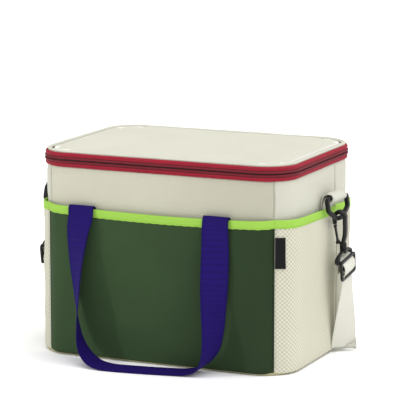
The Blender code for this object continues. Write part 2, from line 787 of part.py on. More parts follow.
    def lay_down(self, obj):
        """Moves a shape that was drawn upright on the right to where the hardware hangs."""
        for vertex in obj.data.vertices:
            vertex.co = self.place(*vertex.co)
        if self.side < 0:
            for polygon in obj.data.polygons:
                polygon.flip()

    def turnback(self):
        """The strap's sewn end, which laps over the slider's middle bar."""
        x = self.outer_layer() + WEBBING / 2 + GAP
        middle = 0.1180
        profile = [
            (x + 0.0007, middle + 0.0070), (x + 0.0012, middle + 0.0052), (x + 0.0036, middle + 0.0026),
            (x + 0.0042, middle), (x + 0.0036, middle - 0.0026), (x + 0.0012, middle - 0.0052),
            (x + 0.0007, middle - 0.0070),
        ]
        rows = [[self.place(px, y, pz) for y in (-0.0180, 0.0180)] for px, pz in profile]
        finish_material(sheet(self.name("strap_turnback"), rows, 0.0010), BEIGE, 0.8)

    def leg_stations(self):
        """Webbing from behind the slider up round the swivel's loop and down past the slider."""
        out = self.layer_out
        stations = [
            (self.shank_x - out, 0.1120), (self.shank_x - out, 0.1200), (self.shank_x - out, self.loop_z - 0.001),
        ]
        for k in range(1, 6):
            angle = math.radians(180 - 30 * k)
            stations.append((self.shank_x + out * math.cos(angle), self.loop_z + out * math.sin(angle)))
        stations += [(self.shank_x + out, self.loop_z - 0.001), (self.shank_x + out, 0.1180), (self.shank_x + out, 0.1000)]
        across_leg = (0, math.cos(LEAN), math.sin(LEAN))
        found = [(self.place(x, 0, z), across_leg) for x, z in stations]
        return found + [
            (self.place(0.2010, 0, 0.0830), (0.10 * self.side, 0.99, 0.12)),
            (self.place(0.1993, 0, 0.0640), (0.25 * self.side, 0.96, 0.08)),
            (self.place(0.1980, 0, 0.0480), (0.38 * self.side, 0.92, 0.05)),
        ]

    def leg(self):
        leg = ribbon(self.name("strap_end"), self.leg_stations(), steps=2)
        finish_material(leg, BEIGE, 0.8)

    def build(self):
        self.tab()
        self.ring()
        self.hook()
        self.gate()
        self.swivel()
        self.slider()
        self.turnback()
        self.leg()


def leaning(points, width=WEBBING_WIDTH):
    """Stations along the floor: each point is (x, y, tilt in degrees), its top edge leaning to the left of the way along."""
    stations = []
    for i, (x, y, tilt) in enumerate(points):
        before, after = points[max(0, i - 1)], points[min(len(points) - 1, i + 1)]
        along = Vector((after[0] - before[0], after[1] - before[1], 0)).normalized()
        inward = Vector((0, 0, 1)).cross(along)
        lean = math.radians(tilt)
        height = width / 2 * math.sin(lean) + WEBBING / 2 * math.cos(lean) + 0.0006
        direction = inward * math.cos(lean) + Vector((0, 0, math.sin(lean)))
        stations.append((Vector((x, y, height)), direction))
    return stations


def strap_run(right, left):
    """The strap between its two ends: down to the floor, round behind the bag and up again."""
    right_foot, left_foot = right.leg_stations()[-1], left.leg_stations()[-1]
    drop = Vector((0, 0.0002, -0.0008))
    start = [
        (right_foot[0] + drop, right_foot[1]),
        ((0.1965, 0.0400, 0.0260), (0.48, 0.86, 0.14)),
        ((0.1950, 0.0520, 0.0140), (0.35, 0.70, 0.60)),
    ]
    floor = leaning([
        (0.1905, 0.0720, 76), (0.1885, 0.0930, 80), (0.1815, 0.1120, 80), (0.1690, 0.1300, 76),
        (0.1540, 0.1520, 64), (0.1370, 0.1780, 48), (0.1190, 0.2030, 22), (0.0960, 0.2240, 8),
        (0.0500, 0.2340, 5), (0.0000, 0.2360, 5), (-0.0500, 0.2350, 5), (-0.0980, 0.2260, 8),
        (-0.1300, 0.2080, 24), (-0.1520, 0.1820, 46), (-0.1700, 0.1550, 62), (-0.1840, 0.1250, 72),
        (-0.1930, 0.0950, 76), (-0.1980, 0.0650, 74), (-0.2000, 0.0340, 66),
    ])
    end = [
        ((-0.2020, 0.0070, 0.0130), (0.30, -0.62, 0.60)),
        ((-0.2020, -0.0080, 0.0270), (0.20, -0.94, 0.20)),
        (left_foot[0] + drop, (-left_foot[1][0], -left_foot[1][1], -left_foot[1][2])),
    ]
    run = ribbon("strap_run", start + floor + end, steps=2)
    finish_material(run, BEIGE, 0.8)


def shoulder_strap():
    right = StrapEnd(1, 0.0150, math.radians(8), "right")
    left = StrapEnd(-1, -0.0420, math.radians(4), "left")
    right.build()
    left.build()
    strap_run(right, left)


def main():
    clear_scene()
    wall_layer("panel", COVER + GAP, BODY_TOP, 0.0, COVER, GAP, BEIGE, 0.8)
    wall_layer("foam", BASE_FOAM_BOTTOM, BODY_TOP - 0.0010, FOAM_DEPTH, FOAM, FOAM_END_GAP, WHITE, 0.9)
    base_layers()
    inner_liner()
    bottom_piping()
    pockets()
    side_label()
    lid()
    zip_tapes()
    lid_hinge()
    zip_slider()
    handles()
    shoulder_strap()


main()
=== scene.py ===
"""Looks of an insulated cooler bag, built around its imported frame.

The bag's walls, pockets, lid, zip, handles and shoulder strap each get their own class. A class holds
the sizes of its pieces, builds their meshes and gives them their finish. Metres, +Z up, the front faces -Y.
"""

import logging
import math
from collections.abc import Callable, Sequence
from dataclasses import dataclass
from enum import Enum

import bpy
import numpy as np
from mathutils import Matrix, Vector, noise


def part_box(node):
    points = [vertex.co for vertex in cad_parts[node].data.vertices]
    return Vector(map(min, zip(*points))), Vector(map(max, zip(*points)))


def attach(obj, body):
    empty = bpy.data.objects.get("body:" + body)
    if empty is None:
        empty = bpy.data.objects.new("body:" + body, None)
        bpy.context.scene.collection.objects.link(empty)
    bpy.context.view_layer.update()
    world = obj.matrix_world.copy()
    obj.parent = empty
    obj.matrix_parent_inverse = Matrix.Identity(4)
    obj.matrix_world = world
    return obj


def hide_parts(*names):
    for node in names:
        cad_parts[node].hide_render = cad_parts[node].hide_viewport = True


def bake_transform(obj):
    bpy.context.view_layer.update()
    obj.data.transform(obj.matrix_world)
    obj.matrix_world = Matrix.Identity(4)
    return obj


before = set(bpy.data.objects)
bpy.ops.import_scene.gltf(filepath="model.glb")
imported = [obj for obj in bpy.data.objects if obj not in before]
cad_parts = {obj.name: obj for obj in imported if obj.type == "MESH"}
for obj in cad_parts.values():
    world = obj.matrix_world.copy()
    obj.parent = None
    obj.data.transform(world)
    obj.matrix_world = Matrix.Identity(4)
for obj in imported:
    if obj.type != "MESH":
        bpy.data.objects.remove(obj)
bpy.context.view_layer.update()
LOG = logging.getLogger("cooler_bag")

Place = Callable[[float, float], Vector]
Profile = Callable[[float, float], tuple[float, float]]
Section = Sequence[tuple[float, float]]

SIDEWAYS = Vector((1, 0, 0))
BACKWARD = Vector((0, 1, 0))
UP = Vector((0, 0, 1))


# Shader building

def srgb(red: int, green: int, blue: int) -> tuple[float, float, float, float]:
    """Linear colour of a screen colour given from 0 to 255."""
    values = [c / 255 for c in (red, green, blue)]
    linear = [v / 12.92 if v <= 0.04045 else ((v + 0.055) / 1.055) ** 2.4 for v in values]
    return (*linear, 1.0)


def darker(colour: Sequence[float], share: float) -> tuple[float, float, float, float]:
    """The same hue with its light scaled by share."""
    return (colour[0] * share, colour[1] * share, colour[2] * share, 1.0)


class Number:
    """A shader socket that takes part in arithmetic."""

    def __init__(self, shader: "Shader", socket: bpy.types.NodeSocket) -> None:
        """Keeps the socket and the shader that its sums are added to."""
        self.shader, self.socket = shader, socket

    def _with(self, operation: str, *values: object) -> "Number":
        """Adds a Math node."""
        made = self.shader.node("ShaderNodeMath", {"operation": operation}, *values)
        return Number(self.shader, made.outputs[0])

    def __add__(self, other: object) -> "Number":
        """Sum."""
        return self._with("ADD", self, other)

    __radd__ = __add__

    def __sub__(self, other: object) -> "Number":
        """Difference."""
        return self._with("SUBTRACT", self, other)

    def __rsub__(self, other: object) -> "Number":
        """Difference, from a number."""
        return self._with("SUBTRACT", other, self)

    def __mul__(self, other: object) -> "Number":
        """Product."""
        return self._with("MULTIPLY", self, other)

    __rmul__ = __mul__

    def __truediv__(self, other: object) -> "Number":
        """Quotient."""
        return self._with("DIVIDE", self, other)

    def sine(self) -> "Number":
        """Sine of the value in radians."""
        return self._with("SINE", self)

    def size(self) -> "Number":
        """Value without its sign."""
        return self._with("ABSOLUTE", self)

    def fold(self, width: float) -> "Number":
        """Zigzag from 0 up to width and back."""
        return self._with("PINGPONG", self, width)

    def ease(self, low: float, high: float) -> "Number":
        """0 below low, 1 above high and smooth between."""
        made = self.shader.node(
            "ShaderNodeMapRange", {"interpolation_type": "SMOOTHSTEP", "clamp": True},
            Value=self, **{"From Min": low, "From Max": high},
        )
        return Number(self.shader, made.outputs[0])


class Shader:
    """A node material being built round one Principled BSDF."""

    def __init__(self, name: str) -> None:
        """Starts the material.

        Args:
            name: The finish's name.
        """
        self.material = bpy.data.materials.new(name)
        self.material.use_nodes = True
        self.tree = self.material.node_tree
        self.surface = self.tree.nodes["Principled BSDF"]

    def node(self, kind: str, settings: dict, *values: object, **named: object) -> bpy.types.Node:
        """Adds a node.

        Args:
            kind: Blender's name for the node.
            settings: What is set on the node itself; stops fills a colour ramp.
            values: Values or links of its sockets, in order.
            named: Values or links of its sockets, by name.

        Returns:
            The node.
        """
        made = self.tree.nodes.new(kind)
        for key, value in settings.items():
            if key == "stops":
                self._fill_ramp(made, value)
            else:
                setattr(made, key, value)
        for key, value in [*enumerate(values), *named.items()]:
            self.feed(made.inputs[key], value)
        return made

    @staticmethod
    def _fill_ramp(made: bpy.types.Node, stops: Sequence[tuple[float, Sequence[float]]]) -> None:
        """Sets the stops of a colour ramp."""
        elements = made.color_ramp.elements
        while len(elements) < len(stops):
            elements.new(0.5)
        for element, (position, colour) in zip(elements, stops):
            element.position, element.color = position, colour

    def feed(self, target: bpy.types.NodeSocket, value: object) -> None:
        """Links a socket or sets it.

        Args:
            target: The input socket.
            value: A Number, a socket, or a plain value.
        """
        if isinstance(value, Number):
            value = value.socket
        if isinstance(value, bpy.types.NodeSocket):
            self.tree.links.new(value, target)
        else:
            target.default_value = value

    def cloth_map(self) -> tuple[Number, Number]:
        """The piece's own map in metres: across or round it, and up or along it."""
        source = self.node("ShaderNodeUVMap", {"uv_map": "cloth"})
        parts = self.node("ShaderNodeSeparateXYZ", {}, source.outputs[0])
        return Number(self, parts.outputs[0]), Number(self, parts.outputs[1])

    def place(self) -> tuple[Number, Number, Number]:
        """Where a point lies in the object's own space."""
        source = self.node("ShaderNodeTexCoord", {})
        parts = self.node("ShaderNodeSeparateXYZ", {}, source.outputs["Object"])
        return Number(self, parts.outputs[0]), Number(self, parts.outputs[1]), Number(self, parts.outputs[2])

    def cloud(self, scale: float, detail: float = 2.0, stretch: Sequence[float] = (1, 1, 1)) -> Number:
        """Soft noise about 0.5, in the object's space.

        Args:
            scale: How many lumps lie in a metre.
            detail: How much finer noise is laid over it.
            stretch: Scale of each axis.

        Returns:
            The noise.
        """
        source = self.node("ShaderNodeTexCoord", {})
        turned = self.node("ShaderNodeMapping", {}, source.outputs["Object"], Scale=stretch)
        made = self.node("ShaderNodeTexNoise", {}, Vector=turned.outputs[0], Scale=scale, Detail=detail)
        return Number(self, made.outputs[0])

    def mix(self, share: object, low: object, high: object) -> bpy.types.NodeSocket:
        """Colour between low and high."""
        made = self.node("ShaderNodeMix", {"data_type": "RGBA"})
        self.feed(made.inputs[0], share)
        self.feed(made.inputs[6], low)
        self.feed(made.inputs[7], high)
        return made.outputs[2]

    def dress(self, colour: object, roughness: object, height: object = None, depth: float = 0.0002,
              **fixed: object) -> bpy.types.Material:
        """Finishes the material.

        Args:
            colour: Base colour, or its socket.
            roughness: Roughness, or its socket.
            height: Relief from 0 to 1, or nothing.
            depth: Depth of the relief in metres.
            fixed: Other sockets of the shader, set to plain values.

        Returns:
            The material.
        """
        self.feed(self.surface.inputs["Base Color"], colour)
        self.feed(self.surface.inputs["Roughness"], roughness)
        for key, value in fixed.items():
            self.feed(self.surface.inputs[key.replace("_", " ")], value)
        if height is not None:
            made = self.node("ShaderNodeBump", {}, Distance=depth, Height=height)
            self.feed(self.surface.inputs["Normal"], made.outputs["Normal"])
        return self.material


# Finishes

TURN = 2 * math.pi
MATT = 0.12
FINE_THREAD = 0.0006


class Weave(Enum):
    """How the threads of a cloth lie."""

    PLAIN = "plain"
    TWILL = "twill"
    HERRINGBONE = "herringbone"
    RIBBED = "ribbed"


@dataclass(frozen=True)
class Cloth:
    """Woven cloth or webbing, on the piece's own map in metres."""

    name: str
    colour: tuple[float, float, float, float]
    weave: Weave = Weave.PLAIN
    pitch: float = 0.0009
    depth: float = 0.00018
    roughness: float = 0.78
    contrast: float = 0.12
    blotch: float = 0.06
    selvedge: float = 0.0
    width: float = 0.0
    painted_shade_right: float = 0.0

    def threads(self, shader: Shader) -> Number:
        """Relief of the weave from 0 to 1."""
        across, along = shader.cloth_map()
        step = TURN / self.pitch
        if self.weave is Weave.PLAIN:
            return ((across * step).sine() * (along * step).sine()) * 0.5 + 0.5
        if self.weave is Weave.TWILL:
            return ((across * step + along * step).sine()) * 0.5 + 0.5
        if self.weave is Weave.HERRINGBONE:
            return ((across.fold(self.pitch * 2.4) * step * 1.4 + along * step).sine()) * 0.5 + 0.5
        rows = (along * (step * 0.5)).sine() * 0.5 + 0.5
        return (across * step).sine().size() * 0.45 + rows * 0.55

    def build(self) -> bpy.types.Material:
        """The finish's material."""
        shader = Shader(self.name)
        threads = self.threads(shader)
        wide = shader.cloud(14.0, 3.0)
        fine = shader.cloud(900.0, 1.0)
        shade = threads * self.contrast + (1.0 - self.contrast)
        shade = shade * (1.0 - self.blotch + wide * (2 * self.blotch))
        shade = shade * (0.94 + fine * 0.12)
        # Painted shade: the colour darkens towards the object's +X side, standing in for weaker light on the bag's
        # right.
        if self.painted_shade_right:
            shade = shade * (1.0 - shader.place()[0].ease(-0.05, 0.17) * self.painted_shade_right)
        if self.selvedge:
            across, _ = shader.cloth_map()
            edge = (across / self.width - 0.5).size().ease(0.40, 0.47)
            shade = shade * (1.0 - edge * self.selvedge)
        colour = shader.mix(shade, darker(self.colour, 0.0), self.colour)
        rough = self.roughness + (fine - 0.5) * 0.12
        return shader.dress(colour, rough, threads * 0.8 + fine * 0.4, self.depth, Specular_IOR_Level=MATT)


@dataclass(frozen=True)
class SpacerMesh:
    """Knitted spacer mesh: raised dots in a diamond net, with painted shade in the gaps between the dots."""

    name: str
    light: tuple[float, float, float, float]
    gap_shade: tuple[float, float, float, float]
    across: float
    up: float
    hem: float

    def build(self) -> bpy.types.Material:
        """The finish's material."""
        shader = Shader(self.name)
        round_it, height = shader.cloth_map()
        dots = (round_it * (TURN / self.across)).sine() * (height * (TURN / self.up)).sine()
        dots = (dots * 0.5 + 0.5).ease(0.12, 0.80)
        knit = (round_it * (TURN / 0.0008)).sine() * (height * (TURN / 0.0010)).sine() * 0.5 + 0.5
        wide = shader.cloud(16.0, 2.0)
        fine = shader.cloud(800.0, 1.0)
        share = dots * 0.86 + knit * 0.14
        # The darker colour is painted shade in the gaps between the raised dots.
        tone = shader.mix(share, self.gap_shade, self.light)
        shade = 0.95 + wide * 0.08 + (fine - 0.5) * 0.08
        colour = shader.mix(shade, (0, 0, 0, 1), tone)
        return shader.dress(colour, 0.82, knit * 0.6 + fine * 0.4, 0.00015, Specular_IOR_Level=MATT)


@dataclass(frozen=True)
class ZipTape:
    """Woven zip tape, bright on its flat and darker on the ridge over the teeth, with painted shade where the two
    halves meet and in a thin line at the ridge's foot.
    """

    name: str
    bright: tuple[float, float, float, float]
    ridge: tuple[float, float, float, float]
    groove_shade: tuple[float, float, float, float]
    width: float

    def build(self) -> bpy.types.Material:
        """The finish's material."""
        shader = Shader(self.name)
        along, up = shader.cloth_map()
        ribs = (along * (TURN / 0.0011)).sine() * 0.5 + 0.5
        rows = (up * (TURN / 0.0007)).sine() * 0.5 + 0.5
        fine = shader.cloud(700.0, 1.0)
        wide = shader.cloud(30.0, 2.0)
        share = up / self.width
        # The darkest colour is painted shade: along the teeth's edge where the halves meet and in a thin line
        # between the ridge and the flat.
        lines = shader.node("ShaderNodeValToRGB", {"stops": (
            (0.0, self.groove_shade), (0.10, self.ridge), (0.36, self.ridge), (0.42, self.groove_shade),
            (0.47, self.bright), (1.0, self.bright),
        )}, share)
        shade = (0.80 + ribs * 0.12 + rows * 0.08) * (0.86 + wide * 0.28) * (0.92 + fine * 0.16)
        colour = shader.mix(shade, (0, 0, 0, 1), lines.outputs[0])
        return shader.dress(colour, 0.62, ribs * 0.5 + rows * 0.5, 0.0002, Specular_IOR_Level=0.2)


@dataclass(frozen=True)
class Moulded:
    """Moulded plastic with a fine spark-eroded grain and rubbed high spots."""

    name: str
    colour: tuple[float, float, float, float]
    roughness: float = 0.36
    rubbed: float = 0.5

    def build(self) -> bpy.types.Material:
        """The finish's material."""
        shader = Shader(self.name)
        grain = shader.cloud(2600.0, 2.0)
        wear = shader.cloud(160.0, 4.0).ease(0.52, 0.72)
        scratch = shader.cloud(240.0, 2.0, (1, 1, 0.12)).ease(0.58, 0.64)
        worn = tuple(min(1.0, c * 2.2 + 0.012) for c in self.colour[:3]) + (1.0,)
        colour = shader.mix((wear * 0.6 + scratch * 0.3) * self.rubbed, self.colour, worn)
        rough = self.roughness + wear * 0.10 + (grain - 0.5) * 0.08
        return shader.dress(colour, rough, grain * 0.7 + scratch * 0.3, 0.00005, Specular_IOR_Level=0.30)


@dataclass(frozen=True)
class Plated:
    """Plated die-cast metal, dulled where fingers rub it."""

    name: str
    colour: tuple[float, float, float, float]

    def build(self) -> bpy.types.Material:
        """The finish's material."""
        shader = Shader(self.name)
        rubbed = shader.cloud(300.0, 3.0)
        brushed = shader.cloud(1200.0, 1.0, (1, 1, 0.1))
        colour = shader.mix(rubbed * 0.5, self.colour, darker(self.colour, 0.62))
        return shader.dress(colour, 0.24 + rubbed * 0.2, brushed, 0.00003, Metallic=1.0)


@dataclass(frozen=True)
class Coated:
    """Wipeable coated lining with soft creases, painted darker along the crease lines as shade."""

    name: str
    colour: tuple[float, float, float, float]

    def build(self) -> bpy.types.Material:
        """The finish's material."""
        shader = Shader(self.name)
        creases = shader.cloud(45.0, 5.0)
        fine = shader.cloud(500.0, 2.0)
        # Painted shade: the colour darkens along the crease lines.
        line = (creases - 0.5).size().ease(0.0, 0.05)
        colour = shader.mix(line * 0.6 + 0.4, darker(self.colour, 0.86), self.colour)
        return shader.dress(colour, 0.34 + fine * 0.16, line * 0.6 + fine * 0.2, 0.0004, Coat_Roughness=0.3)


@dataclass(frozen=True)
class CellFoam:
    """Closed-cell foam, each cell painted darker towards its hollow middle as shade."""

    name: str
    colour: tuple[float, float, float, float]

    def build(self) -> bpy.types.Material:
        """The finish's material."""
        shader = Shader(self.name)
        cells = shader.node("ShaderNodeTexVoronoi", {}, Scale=700.0)
        height = Number(shader, cells.outputs[0])
        # Painted shade: each cell's hollow is darker, following the bump.
        colour = shader.mix(height, darker(self.colour, 0.8), self.colour)
        return shader.dress(colour, 0.9, height, 0.0002)


BEIGE = Cloth("beige_canvas", srgb(205, 204, 190))
# Painted shade: the front panel's beige is a darker, yellower copy of the same canvas for the front's weaker
# light, and it darkens further towards its right.
SHADED_FRONT_BEIGE = Cloth("front_canvas_painted_shade", srgb(201, 199, 180), painted_shade_right=0.14)
BACK_BEIGE = Cloth("pocket_canvas", srgb(196, 194, 177))
# Painted shade: the green darkens by 42 % towards the bag's right, on the front pocket and on the base.
GREEN = Cloth("green_canvas", srgb(56, 77, 49), pitch=0.0010, contrast=0.16, blotch=0.10, painted_shade_right=0.42)
LIME = Cloth("lime_tape", srgb(161, 209, 84), Weave.TWILL, pitch=0.0008, contrast=0.12, roughness=0.6)
PURPLE = Cloth(
    "purple_webbing", srgb(31, 13, 98), Weave.RIBBED, pitch=0.0022, depth=0.00035, contrast=0.30, blotch=0.08,
    selvedge=0.25, width=0.036,
)
STRAP = Cloth(
    "herringbone_webbing", srgb(222, 221, 209), Weave.HERRINGBONE, pitch=0.0018, depth=0.0003, contrast=0.14,
    selvedge=0.06, width=0.036,
)
LABEL = Cloth(
    "label_cloth", srgb(20, 20, 22), Weave.TWILL, pitch=FINE_THREAD, depth=0.0001, contrast=0.3, roughness=0.5,
)
THREAD_CREAM = Cloth("cream_thread", srgb(190, 187, 164), pitch=FINE_THREAD, roughness=0.6)
THREAD_LIME = Cloth("lime_thread", srgb(140, 190, 66), pitch=FINE_THREAD, roughness=0.6)
THREAD_GREEN = Cloth("green_thread", srgb(26, 38, 24), pitch=FINE_THREAD, roughness=0.6)
THREAD_RED = Cloth("red_thread", srgb(104, 18, 36), pitch=FINE_THREAD, roughness=0.6)
PIPING = Cloth("piping_cloth", srgb(178, 172, 136), Weave.TWILL, pitch=0.0010, contrast=0.2)
# The second colour is painted shade for the gaps between the mesh's dots.
MESH = SpacerMesh("spacer_mesh", srgb(212, 210, 195), srgb(180, 177, 153), 0.0050, 0.0056, 0.003)
# The third colour is painted shade for the gap between the zip's halves.
TAPE = ZipTape("red_zip_tape", srgb(160, 27, 49), srgb(118, 32, 42), srgb(46, 10, 16), 0.0092)
COIL = Moulded("coil_plastic", srgb(70, 40, 40), 0.4, 0.2)
BLACK = Moulded("black_plastic", srgb(12, 14, 14), 0.42, 0.30)
BOARD = Moulded("board_plastic", srgb(70, 70, 70), 0.6)
SILVER = Plated("plated_metal", srgb(205, 207, 210))
LINING = Coated("wipeable_lining", srgb(190, 192, 192))
FOAM = CellFoam("white_foam", srgb(235, 235, 230))

_BUILT: dict[str, bpy.types.Material] = {}


def finish(obj: bpy.types.Object, look: object, slot: str, *bodies: str) -> bpy.types.Object:
    """Dresses a piece and lets it ride on a body.

    Args:
        obj: The piece.
        look: Its finish.
        slot: The record's material slot; not used.
        bodies: The body it rides on, or none.

    Returns:
        The piece.
    """
    if look.name not in _BUILT:
        _BUILT[look.name] = look.build()
    obj.data.materials.clear()
    obj.data.materials.append(_BUILT[look.name])
    for body in bodies:
        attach(obj, body)
    LOG.info("%s: %d faces, %s", obj.name, len(obj.data.polygons), look.name)
    return obj


# Modelling helpers

def select_only(obj: bpy.types.Object) -> None:
    """Makes one object the selected and active one."""
    bpy.ops.object.select_all(action="DESELECT")
    obj.select_set(True)
    bpy.context.view_layer.objects.active = obj


def edit(obj: bpy.types.Object, *steps: Callable[[], object]) -> None:
    """Runs edit-mode operators on the whole of an object."""
    select_only(obj)
    bpy.ops.object.mode_set(mode="EDIT")
    bpy.ops.mesh.select_all(action="SELECT")
    for step in steps:
        step()
    bpy.ops.object.mode_set(mode="OBJECT")


def close_up(obj: bpy.types.Object, reach: float = 0.00002) -> None:
    """Welds doubled points and turns every face outwards."""
    edit(
        obj,
        lambda: bpy.ops.mesh.remove_doubles(threshold=reach),
        lambda: bpy.ops.mesh.normals_make_consistent(inside=False),
    )


def modify(obj: bpy.types.Object, kind: str, **settings: object) -> None:
    """Adds a modifier and applies it.

    Args:
        obj: The object.
        kind: Blender's name for the modifier.
        settings: What is set on it.
    """
    select_only(obj)
    bpy.ops.object.modifier_add(type=kind)
    modifier = obj.modifiers[-1]
    for key, value in settings.items():
        setattr(modifier, key, value)
    bpy.ops.object.modifier_apply(modifier=modifier.name)


def grid(name: str, columns: int, rows: int, place: Place, size: tuple[float, float]) -> bpy.types.Object:
    """A primitive grid whose points are set by a function, with a map in metres.

    Args:
        name: The piece's name.
        columns: Faces along the first direction.
        rows: Faces along the second.
        place: Where the point at two shares from 0 to 1 goes.
        size: Length of the map in both directions.

    Returns:
        The object.
    """
    bpy.ops.object.select_all(action="DESELECT")
    bpy.ops.mesh.primitive_grid_add(x_subdivisions=columns, y_subdivisions=rows, size=1, calc_uvs=True)
    obj = bpy.context.object
    obj.name = obj.data.name = name
    mesh = obj.data
    flat = np.empty(len(mesh.vertices) * 3)
    mesh.vertices.foreach_get("co", flat)
    flat = flat.reshape(-1, 3)
    placed = [place(x + 0.5, y + 0.5) for x, y, _ in flat]
    mesh.vertices.foreach_set("co", np.array(placed, dtype=float).reshape(-1))
    layer = mesh.uv_layers.active
    layer.name = "cloth"
    shares = np.empty(len(layer.data) * 2)
    layer.data.foreach_get("uv", shares)
    layer.data.foreach_set("uv", (shares.reshape(-1, 2) * np.array(size)).reshape(-1))
    mesh.update()
    mesh.shade_smooth()
    return obj


def outside(spot: Vector) -> Vector:
    """The way out from the middle of the bag."""
    return Vector((spot.x, spot.y, 0)).normalized()


def above(spot: Vector) -> Vector:
    """The way out and up."""
    return outside(spot) + UP


def below(spot: Vector) -> Vector:
    """The way down."""
    return Vector((0, 0, -1))


def within(spot: Vector) -> Vector:
    """The way in and up."""
    return UP - outside(spot)


def thicken(obj: bpy.types.Object, thickness: float, outward: Callable[[Vector], Vector] | None = None,
            offset: float = -1.0) -> None:
    """Gives a sheet its thickness.

    Args:
        obj: The sheet.
        thickness: In metres.
        outward: The way its faces should look at a place, or nothing where it doesn't matter.
        offset: -1 puts the thickness behind the sheet, 1 in front of it and 0 about it.
    """
    if outward is not None and sum(face.normal.dot(outward(face.center)) for face in obj.data.polygons) < 0:
        edit(obj, bpy.ops.mesh.flip_normals)
    modify(obj, "SOLIDIFY", thickness=thickness, offset=offset, use_even_offset=True)
    edit(obj, lambda: bpy.ops.mesh.normals_make_consistent(inside=False))


def join(name: str, parts: Sequence[bpy.types.Object]) -> bpy.types.Object:
    """Joins objects into the first."""
    select_only(parts[0])
    for part in parts:
        part.select_set(True)
    if len(parts) > 1:
        bpy.ops.object.join()
    parts[0].name = parts[0].data.name = name
    return parts[0]


def smooth_path(values: Sequence[Vector], steps: int, closed: bool = False) -> list[Vector]:
    """A Catmull-Rom curve through values.

    Args:
        values: What it passes through.
        steps: Points for each stretch.
        closed: Whether it comes back to its start.

    Returns:
        The points; a closed path doesn't repeat its first.
    """
    count = len(values)
    found = []
    for i in range(count if closed else count - 1):
        if closed:
            a, b, c, d = (values[(i + k) % count] for k in (-1, 0, 1, 2))
        else:
            b, c = values[i], values[i + 1]
            a = values[i - 1] if i else b + (b - c)
            d = values[i + 2] if i + 2 < count else c + (c - b)
        for k in range(steps):
            t = k / steps
            found.append(0.5 * (2 * b + (c - a) * t + (2 * a - 5 * b + 4 * c - d) * t ** 2
                                + (3 * b - a - 3 * c + d) * t ** 3))
    if not closed:
        found.append(values[-1].copy())
    return found


def rounded_section(half_width: float, half_height: float, corner: float, steps: int = 3) -> Section:
    """Outline of a bar: a rectangle with rounded corners."""
    found = []
    for quarter, (x, y) in enumerate(((1, 1), (-1, 1), (-1, -1), (1, -1))):
        for k in range(steps + 1):
            angle = math.pi / 2 * (quarter + k / steps)
            found.append((
                x * (half_width - corner) + corner * math.cos(angle),
                y * (half_height - corner) + corner * math.sin(angle),
            ))
    return found


def sweep(name: str, centres: Sequence[Vector], across: Sequence[Vector],
          section: Section | Callable[[float], Section], closed: bool = False) -> bpy.types.Object:
    """A bar or webbing along a path.

    Args:
        name: The piece's name.
        centres: Points of its middle line.
        across: The direction of the section's first axis at each point.
        section: Outline of the cut, or a function of the share along the path.
        closed: Whether the path is a ring.

    Returns:
        The closed solid, with its map across and along in metres.
    """
    count = len(centres)
    shape = section if callable(section) else (lambda share: section)
    sides = len(shape(0.0))
    lengths = [0.0]
    frames = []
    for i, centre in enumerate(centres):
        if i:
            lengths.append(lengths[-1] + (centre - centres[i - 1]).length)
        before = centres[i - 1] if i or closed else centre
        after = centres[(i + 1) % count] if i + 1 < count or closed else centre
        along = (after - before).normalized()
        side = (across[i] - along * across[i].dot(along)).normalized()
        frames.append((centre, side, along.cross(side)))
    total = lengths[-1]
    wide = max(a for a, _ in shape(0.0))

    def place(u: float, v: float) -> Vector:
        """Point of the bar's skin."""
        i = round(v * (count if closed else count - 1)) % count if closed else round(v * (count - 1))
        k = round(u * sides) % sides
        centre, side, up = frames[i]
        a, b = shape(lengths[i] / total)[k]
        return centre + side * a + up * b

    obj = grid(name, sides, count if closed else count - 1, place, (1.0, total))
    layer = obj.data.uv_layers["cloth"].data
    ring = [a + wide for a, _ in shape(0.0)]
    for item in layer:
        item.uv.x = ring[round(item.uv.x * sides) % sides]
    if not closed:
        select_only(obj)
        bpy.ops.object.mode_set(mode="EDIT")
        bpy.ops.mesh.select_all(action="SELECT")
        bpy.ops.mesh.remove_doubles(threshold=0.00001)
        bpy.ops.mesh.select_all(action="DESELECT")
        bpy.ops.mesh.select_mode(type="EDGE")
        bpy.ops.mesh.select_non_manifold(
            extend=False, use_boundary=True, use_wire=False, use_multi_face=False, use_non_contiguous=False,
            use_verts=False,
        )
        bpy.ops.mesh.edge_face_add()
        bpy.ops.mesh.select_mode(type="VERT")
        bpy.ops.object.mode_set(mode="OBJECT")
    close_up(obj, 0.00001)
    return obj


def lathe(name: str, start: Vector, axis: Vector, profile: Section, sides: int = 28) -> bpy.types.Object:
    """A turned piece.

    Args:
        name: Its name.
        start: Where its axis starts.
        axis: The way the axis runs.
        profile: Distance along the axis and radius; it starts and ends on the axis.
        sides: Faces round it.

    Returns:
        The closed solid.
    """
    axis = axis.normalized()
    side = axis.orthogonal().normalized()
    up = axis.cross(side)
    steps = len(profile) - 1

    def place(u: float, v: float) -> Vector:
        """Point of the skin."""
        along, radius = profile[round(v * steps)]
        angle = TURN * (round(u * sides) % sides) / sides
        return start + axis * along + (side * math.cos(angle) + up * math.sin(angle)) * radius

    obj = grid(name, sides, steps, place, (TURN * 0.004, 0.02))
    close_up(obj, 0.000005)
    select_only(obj)
    bpy.ops.object.shade_smooth_by_angle(angle=math.radians(40))
    return obj


